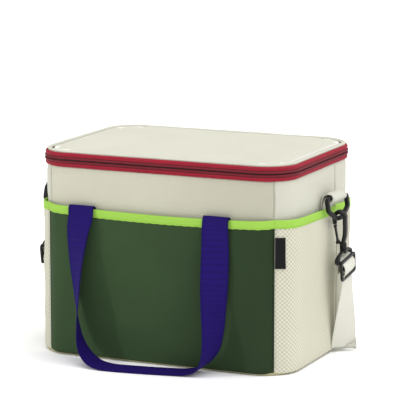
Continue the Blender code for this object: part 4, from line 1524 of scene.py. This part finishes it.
@dataclass
class Inside:
    """The wipeable tub, the tape round its top and the hidden padding."""

    inset: float = 0.0088
    thickness: float = 0.0007

    def tub(self) -> None:
        """The lining of the compartment, slightly creased."""
        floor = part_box("inner_liner")[0].z + self.thickness
        wall_share = 0.62

        def place(u: float, v: float) -> Vector:
            """Point of the tub: from the middle of its floor out and up to the rim."""
            distance = (2 * u - 1) * OUTLINE.half
            out = min(1.0, v / (1 - wall_share))
            rise = max(0.0, (v - (1 - wall_share)) / wall_share)
            spot = OUTLINE.at(distance, -self.inset, 0.0)
            corner = ease((rise - 0.0) / 0.04)
            spot = spot * (out * (0.985 + 0.015 * corner))
            z = floor + 0.0001 + rise * (BODY_TOP - 0.0004 - floor)
            whole = Vector((spot.x, spot.y, z))
            crease = noise.noise(whole * 22) + 0.5 * noise.noise(whole * 60)
            way = OUTLINE.locate(distance)[1]
            spot -= way * (0.0006 + 0.0006 * crease) * ease(rise * 12) * ease((1 - rise) * 14)
            spot.z = z + (0.0003 + 0.0003 * crease) * (1 - ease(rise * 40)) * ease(v * 8)
            return spot

        tub = radial("liner_tub", 220, 90, place, 0.36)
        thicken(tub, self.thickness, within)
        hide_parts("inner_liner")
        finish(tub, LINING, "liner_cloth", "root")

    def rim(self) -> None:
        """The tape over the top of the walls."""
        points = [
            (BODY_TOP - 0.0085, -0.0101), (BODY_TOP - 0.0004, -0.0100), (BODY_TOP + 0.0008, -0.0088),
            (BODY_TOP + 0.0012, -0.0060), (BODY_TOP + 0.0010, -0.0020), (BODY_TOP + 0.0006, -0.0002),
        ]
        tape = band("rim_tape", -OUTLINE.half, OUTLINE.half,
                    lambda v, s: (along_profile(points, v)[0] + 0.0002 * waves(s, 0.0, 0.03, 8.0),
                                  along_profile(points, v)[1]), 0.0035, 18, 0.022)
        edit(tape, lambda: bpy.ops.mesh.remove_doubles(threshold=0.00001))
        thicken(tape, 0.0005, offset=0.0)
        finish(tape, BACK_BEIGE, "beige_cloth", "root")
        row = outline_row("rim_stitches", -OUTLINE.half, OUTLINE.half, lambda s: -0.0104,
                          lambda s: BODY_TOP - 0.0070)
        finish(row, THREAD_CREAM, "beige_cloth", "root")

    def padding(self) -> None:
        """Dresses the padding and the board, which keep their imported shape."""
        looks = {"board": BOARD, "foam": FOAM}
        for name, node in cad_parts.items():
            for ending, look in looks.items():
                if name.endswith(ending):
                    if look.name not in _BUILT:
                        _BUILT[look.name] = look.build()
                    node.data.materials.clear()
                    node.data.materials.append(_BUILT[look.name])

    def build(self) -> None:
        """Builds the inside."""
        self.tub()
        self.rim()
        self.padding()


# Carrying handles

@dataclass
class Handle:
    """A webbing loop that hangs over the pocket's edge, with its two sewn ends."""

    place: str
    side: int
    left_x: float = -0.1055
    right_x: float = 0.0850
    pivot: tuple[float, float] = (0.1346, 0.2035)

    def turned(self, stations: list) -> list:
        """Stations as they are for the front, or turned half a turn for the back."""
        if self.side < 0:
            return stations
        return [((-c[0], -c[1], c[2]), (-a[0], -a[1], a[2])) for c, a in stations]

    def loop(self) -> None:
        """The loop: down from the pocket's edge, along the floor and up again."""
        def across(angle: float, rise: float = 0.0) -> tuple[float, float, float]:
            """Direction across the webbing."""
            turn = math.radians(angle)
            return math.cos(turn), math.sin(turn), rise

        y, z = self.pivot
        stations = [
            ((self.left_x, -y + 0.0066, z - 0.0026), across(0)),
            ((self.left_x, -y + 0.0046, z - 0.0014), across(0)),
            ((self.left_x, -y + 0.0022, z - 0.0022), across(0)),
            ((self.left_x, -y + 0.0004, z - 0.0062), across(0)),
            ((self.left_x, -y - 0.0008, z - 0.0150), across(-2)),
            ((-0.1085, -0.1378, 0.168), across(-14)), ((-0.1090, -0.1420, 0.132), across(-35)),
            ((-0.1058, -0.1480, 0.094), across(-52)), ((-0.1010, -0.1545, 0.053), across(-66)),
            ((-0.0925, -0.1600, 0.0250), across(-78)), ((-0.0760, -0.1655, 0.0075), across(-88)),
            ((-0.0530, -0.1690, 0.0016), across(-89)), ((-0.0140, -0.1655, 0.0012), across(-86)),
            ((0.0250, -0.1590, 0.0012), across(-82)), ((0.0530, -0.1540, 0.0025), across(-82)),
            ((0.0740, -0.1530, 0.0100), across(-88)), ((0.0865, -0.1540, 0.0300), across(-105)),
            ((0.0900, -0.1530, 0.056), across(-117)), ((0.0895, -0.1500, 0.082), across(-128)),
            ((0.0885, -0.1460, 0.111), across(-145)), ((0.0868, -0.1390, 0.153), across(-166)),
            ((self.right_x, -y - 0.0008, z - 0.0150), across(-178)),
            ((self.right_x, -y + 0.0004, z - 0.0062), across(-180)),
            ((self.right_x, -y + 0.0022, z - 0.0022), across(-180)),
            ((self.right_x, -y + 0.0046, z - 0.0014), across(-180)),
            ((self.right_x, -y + 0.0066, z - 0.0026), across(-180)),
        ]
        handle = webbing(f"{self.place}_handle_webbing", self.turned(stations))
        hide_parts(f"{self.place}_handle")
        finish(handle, PURPLE, "purple_webbing")
        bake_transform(handle)

    def sewn_end(self, label: str, x: float) -> None:
        """One end, from behind the pocket up to the fold."""
        wall = OUTLINE.depth / 2
        profile = [
            (wall + 0.0019, 0.1520), (wall + 0.0019, 0.1700), (wall + 0.0020, 0.1900),
            (wall + 0.0023, 0.1960), (wall + 0.0030, 0.1996), (wall + 0.0046, 0.2010),
        ]
        stations = [((x, self.side * y, z), (1, 0, 0)) for y, z in profile]
        end = webbing(f"{self.place}_handle_root_{label}", stations, 5)
        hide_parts(f"{self.place}_handle_end_{label}")
        finish(end, PURPLE, "purple_webbing", "root")

    def build(self) -> None:
        """Builds the handle."""
        self.loop()
        turn = -self.side
        for label, x in (("left", turn * self.left_x), ("right", turn * self.right_x)):
            self.sewn_end(label, x)


# Shoulder strap

@dataclass
class StrapEnd:
    """One end of the shoulder strap: tab, ring, snap hook, swivel, slider and the webbing on them."""

    label: str
    side: int
    y: float
    yaw: float
    lean: float = math.radians(8)
    bar: tuple[float, float] = (0.1915, 0.2125)
    foot: tuple[float, float] = (0.1960, 0.1845)
    eye: tuple[float, float] = (0.1965, 0.1852)
    shank_x: float = 0.1995
    loop_z: float = 0.1290
    tab_half: float = 0.018
    ring_half: float = 0.0256
    layer_out: float = 0.00305

    def hang(self, x: float, y: float, z: float) -> Vector:
        """A point of the hanging hardware, which leans back towards its foot."""
        drop = z - self.foot[1]
        return Vector((
            self.side * x,
            self.y + y * math.cos(self.lean) - drop * math.sin(self.lean),
            self.foot[1] + y * math.sin(self.lean) + drop * math.cos(self.lean),
        ))

    def turn(self, x: float, y: float, z: float) -> Vector:
        """A point of the ring or tab, turned a little about the upright."""
        dx = x - self.bar[0]
        return Vector((
            self.side * (self.bar[0] + dx * math.cos(self.yaw) + y * math.sin(self.yaw)),
            self.y + y * math.cos(self.yaw) - dx * math.sin(self.yaw),
            z,
        ))

    def hung(self, name: str, corners: Sequence[tuple[float, float, float]], across: Vector,
             section: Section | Callable[[float], Section], steps: int = 6, closed: bool = False
             ) -> bpy.types.Object:
        """A bar through points of the hanging hardware.

        Args:
            name: The bar's name.
            corners: Points that its middle line passes through.
            across: The direction of its section's first axis.
            section: Outline of the cut, or a function of the share along the path.
            steps: Points for each stretch.
            closed: Whether it comes back to its start.

        Returns:
            The bar.
        """
        path = smooth_path([self.hang(*p) for p in corners], steps, closed)
        return sweep(name, path, [across] * len(path), section, closed)

    def width_way(self) -> Vector:
        """The way across the hanging webbing."""
        return Vector((0, math.cos(self.lean), math.sin(self.lean)))

    def tab(self) -> None:
        """The webbing tab that holds the ring."""
        bar_x, bar_z = self.bar
        roll = 0.0047
        profile = [(0.1765, 0.1720), (0.1765, 0.1900), (0.1768, 0.2000), (0.1777, 0.2080), (0.1812, 0.2150),
                   (bar_x - 0.0045, bar_z + 0.0048)]
        profile += [
            (bar_x + roll * math.cos(turn), bar_z + roll * math.sin(turn))
            for turn in (math.radians(100 - 26 * k) for k in range(9))
        ]
        profile += [(bar_x - 0.0066, bar_z - 0.0004), (0.1802, 0.2040), (0.1790, 0.1960), (0.1789, 0.1850)]
        path = smooth_path([Vector((x, 0, z)) for x, z in profile], 4)
        total = sum((b - a).length for a, b in zip(path[:-1], path[1:]))

        def place(u: float, v: float) -> Vector:
            """Point of the tab."""
            spot = path[round(u * (len(path) - 1))]
            share = min(1.0, max(0.0, (spot.x - 0.1777) / (bar_x - 0.1777)))
            y = (v - 0.5) * 2 * self.tab_half
            straight = Vector((self.side * spot.x, self.y + y, spot.z))
            crimp = 0.00025 * math.sin(v * 21) * share
            return straight.lerp(self.turn(spot.x + crimp, y, spot.z), share)

        tab = grid(f"ring_tab_webbing_{self.label}", len(path) - 1, 22, place, (total, 2 * self.tab_half))
        layer = tab.data.uv_layers["cloth"].data
        for item in layer:
            item.uv = (item.uv.y, item.uv.x)
        thicken(tab, 0.0014, offset=0.0)
        modify(tab, "BEVEL", width=0.0003, segments=2, limit_method="ANGLE")
        tab.data.shade_smooth()
        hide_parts(f"ring_tab_{self.label}")
        finish(tab, STRAP, "strap_webbing", "root")

    def ring(self) -> None:
        """Six-sided ring with a flat-sided bar."""
        half, top, low = self.ring_half, self.bar[1], self.foot[1]
        fall, foot = top - low, 0.0070
        corners = [(-half, top), (half, top), (half, top - 0.58 * fall), (foot, low), (-foot, low),
                   (-half, top - 0.58 * fall)]
        points = []
        for i, corner in enumerate(corners):
            before, after = corners[i - 1], corners[(i + 1) % len(corners)]
            inner = [(one + two) / 2 for one, two in zip(before, after)]
            for other, share, rounding in ((before, 0.18, 0.0), (before, 0.08, 0.03), (after, 0.08, 0.03),
                                           (after, 0.18, 0.0)):
                spot = [own + (far - own) * share for own, far in zip(corner, other)]
                y, z = (own + (middle - own) * rounding for own, middle in zip(spot, inner))
                x = self.bar[0] + (self.foot[0] - self.bar[0]) * (top - z) / fall
                points.append(self.turn(x, y, z))
        path = []
        for i, point in enumerate(points):
            path += [point, point.lerp(points[(i + 1) % len(points)], 0.5)]
        outward = (self.turn(self.bar[0] + 0.01, 0, top) - self.turn(self.bar[0], 0, top)).normalized()
        ring = sweep(f"ring_moulding_{self.label}", path, [outward] * len(path),
                     rounded_section(0.0027, 0.0026, 0.0010), closed=True)
        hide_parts(f"strap_ring_{self.label}")
        finish(ring, BLACK, "black_plastic", f"ring_{self.label}")

    def ridged(self, half: float, thick: float) -> list[tuple[float, float]]:
        """Section of the hook: wide, with a rib along its outside."""
        return [
            (half, -thick * 0.35), (half, thick * 0.25), (half * 0.86, thick * 0.62),
            (half * 0.42, thick * 0.72),
            (half * 0.26, thick * 1.12), (-half * 0.26, thick * 1.12), (-half * 0.42, thick * 0.72),
            (-half * 0.86, thick * 0.62), (-half, thick * 0.25), (-half, -thick * 0.35),
            (-half * 0.8, -thick), (half * 0.8, -thick),
        ]

    def hook(self) -> None:
        """The snap hook: collar with rings, back, eye and nose, and the pivot boss of its gate."""
        way = self.width_way() * self.side
        eye_x, eye_z = self.eye
        radius = 0.0071
        points = [(self.shank_x, 0, 0.1500), (0.2005, 0, 0.1535), (0.2022, 0, 0.1600), (0.2031, 0, 0.1700),
                  (0.2033, 0, 0.1790)]
        points += [
            (eye_x + radius * math.cos(turn), 0, eye_z + radius * math.sin(turn))
            for turn in (math.radians(25.7 * k) for k in range(8))
        ]
        points += [(eye_x - radius, 0, 0.1795), (eye_x - radius + 0.0004, 0, 0.1760)]

        def section(share: float) -> list[tuple[float, float]]:
            """The hook narrows at its foot and at its nose."""
            nose = ease((share - 0.80) / 0.20)
            root = 1 - ease(share / 0.12)
            return self.ridged(0.0044 - 0.0008 * nose - 0.0010 * root, 0.0025 - 0.0004 * nose)

        back = self.hung(f"hook_back_{self.label}", points, way, section, 6)
        foot = self.hang(self.shank_x, 0, 0.1420)
        axis = self.hang(self.shank_x, 0, 0.1520) - foot
        collar = lathe(f"hook_collar_{self.label}", foot, axis, [
            (0.0, 0.0), (0.0, 0.0040), (0.0005, 0.0047), (0.0016, 0.0047), (0.0019, 0.0042), (0.0026, 0.0042),
            (0.0029, 0.0047), (0.0042, 0.0047), (0.0045, 0.0041), (0.0052, 0.0041), (0.0056, 0.0046),
            (0.0074, 0.0046), (0.0090, 0.0036), (0.0102, 0.0026), (0.0106, 0.0),
        ])
        ear_start = self.hang(0.1925, -0.0026, 0.1512)
        ear = lathe(f"hook_ear_{self.label}", ear_start, way * self.side, [
            (0.0, 0.0), (0.0, 0.0019), (0.0003, 0.0024), (0.0049, 0.0024), (0.0052, 0.0019), (0.0052, 0.0),
        ])
        reach = [(self.shank_x - 0.002, 0, 0.1490), (0.1950, 0, 0.1500), (0.1925, 0, 0.1512)]
        arm = self.hung(f"hook_arm_{self.label}", reach, way, rounded_section(0.0022, 0.0014, 0.0008), 4)
        hook = join(f"hook_moulding_{self.label}", [back, collar, ear, arm])
        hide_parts(f"snap_hook_{self.label}")
        finish(hook, BLACK, "black_plastic", f"hook_{self.label}")

    def gate(self) -> None:
        """The springy lever that shuts the hook, with the step where it meets the nose."""
        way = self.width_way() * self.side
        points = [
            (0.1921, 0, 0.1535), (0.1915, 0, 0.1580), (0.1906, 0, 0.1650), (0.1900, 0, 0.1710),
            (0.1897, 0, 0.1742),
        ]

        def section(share: float) -> list[tuple[float, float]]:
            """The lever is thinnest in the middle and has a head at its tip."""
            head = ease((share - 0.78) / 0.12)
            return rounded_section(0.0022 + 0.0005 * head, 0.0011 + 0.0005 * head, 0.0006)

        lever = self.hung(f"gate_lever_{self.label}", points, way, section, 5)
        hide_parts(f"hook_gate_{self.label}")
        finish(lever, BLACK, "black_plastic", f"gate_{self.label}")

    def swivel(self) -> None:
        """The hook's swivel foot: boss and pin, and the lobed loop for the webbing."""
        half, z = 0.0228, self.loop_z
        corners = [
            (-0.0040, 0.1392), (0.0040, 0.1392), (0.0110, 0.1380), (0.0180, 0.1362), (half, 0.1330),
            (half, z + 0.0012), (half - 0.0022, z), (0.0080, z), (-0.0080, z), (-half + 0.0022, z),
            (-half, z + 0.0012), (-half, 0.1330), (-0.0180, 0.1362), (-0.0110, 0.1380),
        ]

        def section(share: float) -> list[tuple[float, float]]:
            """The loop is thicker at its two ends."""
            lobe = math.exp(-((share - 0.30) / 0.07) ** 2) + math.exp(-((share - 0.80) / 0.07) ** 2)
            return rounded_section(0.0021 + 0.0009 * lobe, 0.0020 + 0.0006 * lobe, 0.0012)

        ring = [(self.shank_x, y, height) for y, height in corners]
        loop = self.hung(f"swivel_ring_{self.label}", ring, SIDEWAYS * self.side, section, closed=True)
        start = self.hang(self.shank_x, 0, 0.1364)
        boss = lathe(f"swivel_boss_{self.label}", start, self.hang(self.shank_x, 0, 0.1464) - start, [
            (0.0, 0.0), (0.0, 0.0036), (0.0006, 0.0045), (0.0034, 0.0047), (0.0046, 0.0047), (0.0052, 0.0040),
            (0.0053, 0.0020), (0.0080, 0.0020), (0.0080, 0.0),
        ])
        swivel = join(f"swivel_moulding_{self.label}", [loop, boss])
        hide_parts(f"swivel_loop_{self.label}")
        finish(swivel, BLACK, "black_plastic", f"strap_{self.label}")

    def slider(self) -> None:
        """The three-bar slider and the webbing lapped over its middle bar."""
        low, high, half_y, corner = 0.1062, 0.1298, 0.0236, 0.0028
        x = self.shank_x + self.layer_out + 0.00105 + 0.0015
        outline = []
        for y_side, z_mid, start in ((1, low, -90), (1, high, 0), (-1, high, 90), (-1, low, 180)):
            z_side = 1 if z_mid == high else -1
            for k in range(4):
                turn = math.radians(start + 30 * k)
                outline.append((x, y_side * (half_y - corner) + corner * math.cos(turn),
                                z_mid - z_side * corner + corner * math.sin(turn)))
        path = [self.hang(*p) for p in outline]
        outward = SIDEWAYS * self.side
        rail = rounded_section(0.0015, 0.0019, 0.0007)
        ring = sweep(f"slider_frame_{self.label}", path, [outward] * len(path), rail, closed=True)
        middle = (low + high) / 2
        rod = [(x, y, middle) for y in (-half_y, -0.008, 0.008, half_y)]
        bar = self.hung(f"slider_bar_{self.label}", rod, outward, rounded_section(0.0013, 0.0018, 0.0006), 3)
        slider = join(f"slider_moulding_{self.label}", [ring, bar])
        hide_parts(f"strap_slider_{self.label}")
        finish(slider, BLACK, "black_plastic", f"slider_{self.label}")

        over = x + 0.0026
        hump = [
            (x - 0.0002, middle + 0.0090), (x + 0.0004, middle + 0.0076), (over - 0.0004, middle + 0.0050),
            (over + 0.0002, middle + 0.0022), (over + 0.0003, middle - 0.0022), (over - 0.0004, middle - 0.0050),
            (x + 0.0004, middle - 0.0076), (x - 0.0002, middle - 0.0090),
        ]
        stations = [(self.hang(a, 0, b), self.width_way()) for a, b in hump]
        lap = webbing(f"slider_lap_{self.label}", stations, 6, 0.0182, 0.0006)
        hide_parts(f"strap_turnback_{self.label}")
        finish(lap, STRAP, "strap_webbing", f"slider_{self.label}")

    def leg_stations(self) -> list:
        """Webbing from behind the slider, round the swivel's loop and down past the slider."""
        out, x = self.layer_out, self.shank_x
        line = [(x - out, 0.1120), (x - out, 0.1200), (x - out, self.loop_z - 0.001)]
        line += [
            (x + out * math.cos(turn), self.loop_z + out * math.sin(turn))
            for turn in (math.radians(180 - 30 * k) for k in range(1, 6))
        ]
        line += [(x + out, self.loop_z - 0.001), (x + out, 0.1180), (x + out, 0.1000)]
        across = self.width_way()
        found = [(self.hang(a, 0, b), across) for a, b in line]
        return found + [
            (self.hang(0.2010, 0, 0.0830), Vector((0.10 * self.side, 0.99, 0.12))),
            (self.hang(0.1993, 0, 0.0640), Vector((0.25 * self.side, 0.96, 0.08))),
            (self.hang(0.1980, 0, 0.0480), Vector((0.38 * self.side, 0.92, 0.05))),
        ]

    def loose_threads(self) -> None:
        """Two ends of sewing thread that stick out where the webbing is sewn."""
        ends = (
            ((0.2072, -0.0178, 0.1185), (0.2080, -0.0222, 0.1165), (0.2075, -0.0245, 0.1195)),
            ((0.2072, -0.0178, 0.1165), (0.2082, -0.0215, 0.1125), (0.2078, -0.0225, 0.1080)),
        )
        radius, sides = 0.00022, 6
        turns = [TURN * k / sides for k in range(sides)]
        thread = [(radius * math.cos(t), radius * math.sin(t)) for t in turns]
        way = Vector((0.2, 0.1, 1.0))
        cords = [self.hung(f"thread_{number}", end, way, thread) for number, end in enumerate(ends)]
        threads = join(f"loose_threads_{self.label}", cords)
        finish(threads, THREAD_CREAM, "strap_webbing", f"slider_{self.label}")

    def build(self) -> None:
        """Builds everything but the strap's run."""
        self.tab()
        self.ring()
        self.hook()
        self.gate()
        self.swivel()
        self.slider()
        if self.side > 0:
            self.loose_threads()

@dataclass
class Strap:
    """The shoulder strap between its two ends: round behind the bag, along the floor."""

    right: StrapEnd
    left: StrapEnd
    half_width: float = 0.018

    def floor(self, points: Sequence[tuple[float, float, float]]) -> list:
        """Stations along the floor from places and tilts in degrees, the top edge leaning towards the bag."""
        stations = []
        for i, (x, y, tilt) in enumerate(points):
            before, after = points[max(0, i - 1)], points[min(len(points) - 1, i + 1)]
            along = Vector((after[0] - before[0], after[1] - before[1], 0)).normalized()
            inward = UP.cross(along)
            lean = math.radians(tilt)
            height = self.half_width * math.sin(lean) + 0.0014
            stations.append((Vector((x, y, height)), inward * math.cos(lean) + UP * math.sin(lean)))
        return stations

    def build(self) -> None:
        """Builds the strap in three lengths, one for each end and one that stays where it lies."""
        down = [
            (Vector((0.1965, 0.0365, 0.0300)), Vector((0.55, 0.83, 0.03))),
            (Vector((0.1940, 0.0385, 0.0130)), Vector((0.62, 0.78, 0.02))),
            (Vector((0.1925, 0.0410, 0.0036)), Vector((0.60, 0.78, 0.10))),
            (Vector((0.1900, 0.0530, 0.0110)), Vector((0.35, 0.60, 0.70))),
        ]
        floor = self.floor([
            (0.1890, 0.0740, 78), (0.1865, 0.0930, 80), (0.1805, 0.1120, 80), (0.1690, 0.1300, 76),
            (0.1540, 0.1520, 64), (0.1370, 0.1780, 48), (0.1190, 0.2030, 22), (0.0960, 0.2240, 8),
            (0.0500, 0.2340, 5), (0.0000, 0.2360, 5), (-0.0500, 0.2350, 5), (-0.0980, 0.2260, 8),
            (-0.1300, 0.2080, 24), (-0.1520, 0.1820, 46), (-0.1700, 0.1550, 62), (-0.1840, 0.1250, 72),
            (-0.1930, 0.0950, 76), (-0.1980, 0.0650, 74), (-0.2000, 0.0340, 66),
        ])
        up = [
            (Vector((-0.2020, 0.0070, 0.0130)), Vector((0.30, -0.62, 0.60))),
            (Vector((-0.2020, -0.0080, 0.0270)), Vector((0.20, -0.94, 0.20))),
        ]
        left_leg = [(c, -a) for c, a in reversed(self.left.leg_stations())]
        stations = self.right.leg_stations() + down + floor + up + left_leg
        steps = 6
        centres = smooth_path([Vector(c) for c, _ in stations], steps)
        across = smooth_path([Vector(a).normalized() for _, a in stations], steps)
        pairs = list(zip(centres, across))
        turned = len(self.right.leg_stations()) + len(down)
        first, last = (turned + 5) * steps, (turned + 13) * steps
        lengths = (
            ("strap_webbing_right", pairs[:first + 1], "strap_end_right", "strap_right"),
            ("strap_webbing_middle", pairs[first:last + 1], "strap_run", "root"),
            ("strap_webbing_left", pairs[last:], "strap_end_left", "strap_left"),
        )
        for name, part, node, body in lengths:
            piece = webbing(name, part, 1, self.half_width)
            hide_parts(node)
            if body == "root":
                finish(piece, STRAP, "strap_webbing", body)
                continue
            finish(piece, STRAP, "strap_webbing")
            side = 1 if body.endswith("right") else -1
            side * 0.1500
            side * 0.1980
            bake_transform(piece)


# Studio

@dataclass(frozen=True)
class PaleFloor:
    """Plain pale floor, very slightly mottled."""

    name: str = "pale_floor"

    def build(self) -> bpy.types.Material:
        """The finish's material."""
        shader = Shader(self.name)
        shade = shader.cloud(3.0, 2.0)
        colour = shader.mix(shade, (0.96, 0.96, 0.96, 1), (0.99, 0.99, 0.99, 1))
        return shader.dress(colour, 0.9, Specular_IOR_Level=0.0)


@dataclass
class Studio:
    """Floor, soft lights and camera."""

    camera_at: tuple[float, float, float] = (1.273, -2.822, 0.759)
    yaw: float = math.radians(24.22)
    dip: float = math.radians(10.31)
    lens: float = 213.12

    def floor(self) -> None:
        """The surface the bag stands on."""
        bpy.ops.object.select_all(action="DESELECT")
        bpy.ops.mesh.primitive_plane_add(size=30)
        plane = bpy.context.object
        plane.name = "floor"
        look = PaleFloor()
        plane.data.materials.append(look.build())

    def light(self, name: str, source: tuple[float, float, float], softness: float, power: float) -> None:
        """One far light: where it comes from, how wide it is in degrees and its strength."""
        lamp = bpy.data.lights.new(name, "SUN")
        lamp.angle, lamp.energy = math.radians(softness), power
        obj = bpy.data.objects.new(name, lamp)
        bpy.context.scene.collection.objects.link(obj)
        obj.rotation_euler = Vector(source).to_track_quat("Z", "Y").to_euler()

    def build(self) -> None:
        """Builds the studio."""
        self.floor()
        world = bpy.data.worlds.new("studio")
        world.use_nodes = True
        sky = world.node_tree.nodes["Background"]
        sky.inputs["Color"].default_value = (1, 1, 1, 1)
        sky.inputs["Strength"].default_value = 0.62
        bpy.context.scene.world = world
        self.light("key_left", (-0.95, -0.90, 0.62), 4, 0.9)
        self.light("fill_right", (0.45, 0.05, 0.88), 90, 2.5)
        view = bpy.context.scene.view_settings
        view.view_transform, view.look = "Standard", "None"
        data = bpy.data.cameras.new("camera")
        data.sensor_width, data.lens = 36.0, self.lens
        data.clip_start, data.clip_end = 0.1, 60.0
        camera = bpy.data.objects.new("camera", data)
        bpy.context.scene.collection.objects.link(camera)
        camera.location = self.camera_at
        camera.rotation_euler = (math.pi / 2 - self.dip, 0.0, self.yaw)
        bpy.context.scene.camera = camera


def build_pockets() -> None:
    """Builds the four pockets and the tag on the right one."""
    far = 2 * OUTLINE.half
    Pocket("front_pocket", -FRONT_SEAM, FRONT_SEAM, GREEN, "green_cloth", THREAD_GREEN).build()
    knit = {"pitch": 0.0011, "rows": 180, "knit": True}
    right = Pocket("right_pocket", FRONT_SEAM, BACK_SEAM, MESH, "mesh_cloth", THREAD_CREAM, **knit)
    right.build()
    Pocket(
        "left_pocket", far - BACK_SEAM, far - FRONT_SEAM, MESH, "mesh_cloth", THREAD_CREAM, stand=0.0056, **knit,
    ).build()
    Pocket("back_pocket", BACK_SEAM, far - BACK_SEAM, BACK_BEIGE, "beige_cloth", THREAD_CREAM).build()
    Label(right).build()


def main() -> None:
    """Builds the bag and its studio."""
    logging.basicConfig(level=logging.INFO, format="%(message)s")
    Walls().build()
    build_pockets()
    Lid().build()
    Zip().build()
    Inside().build()
    Handle("front", -1).build()
    Handle("back", 1).build()
    right = StrapEnd("right", 1, 0.0150, math.radians(8))
    left = StrapEnd("left", -1, -0.0420, math.radians(4))
    right.build()
    left.build()
    Strap(right, left).build()
    Studio().build()
    bpy.context.view_layer.update()


if __name__ == "__main__":
    main()
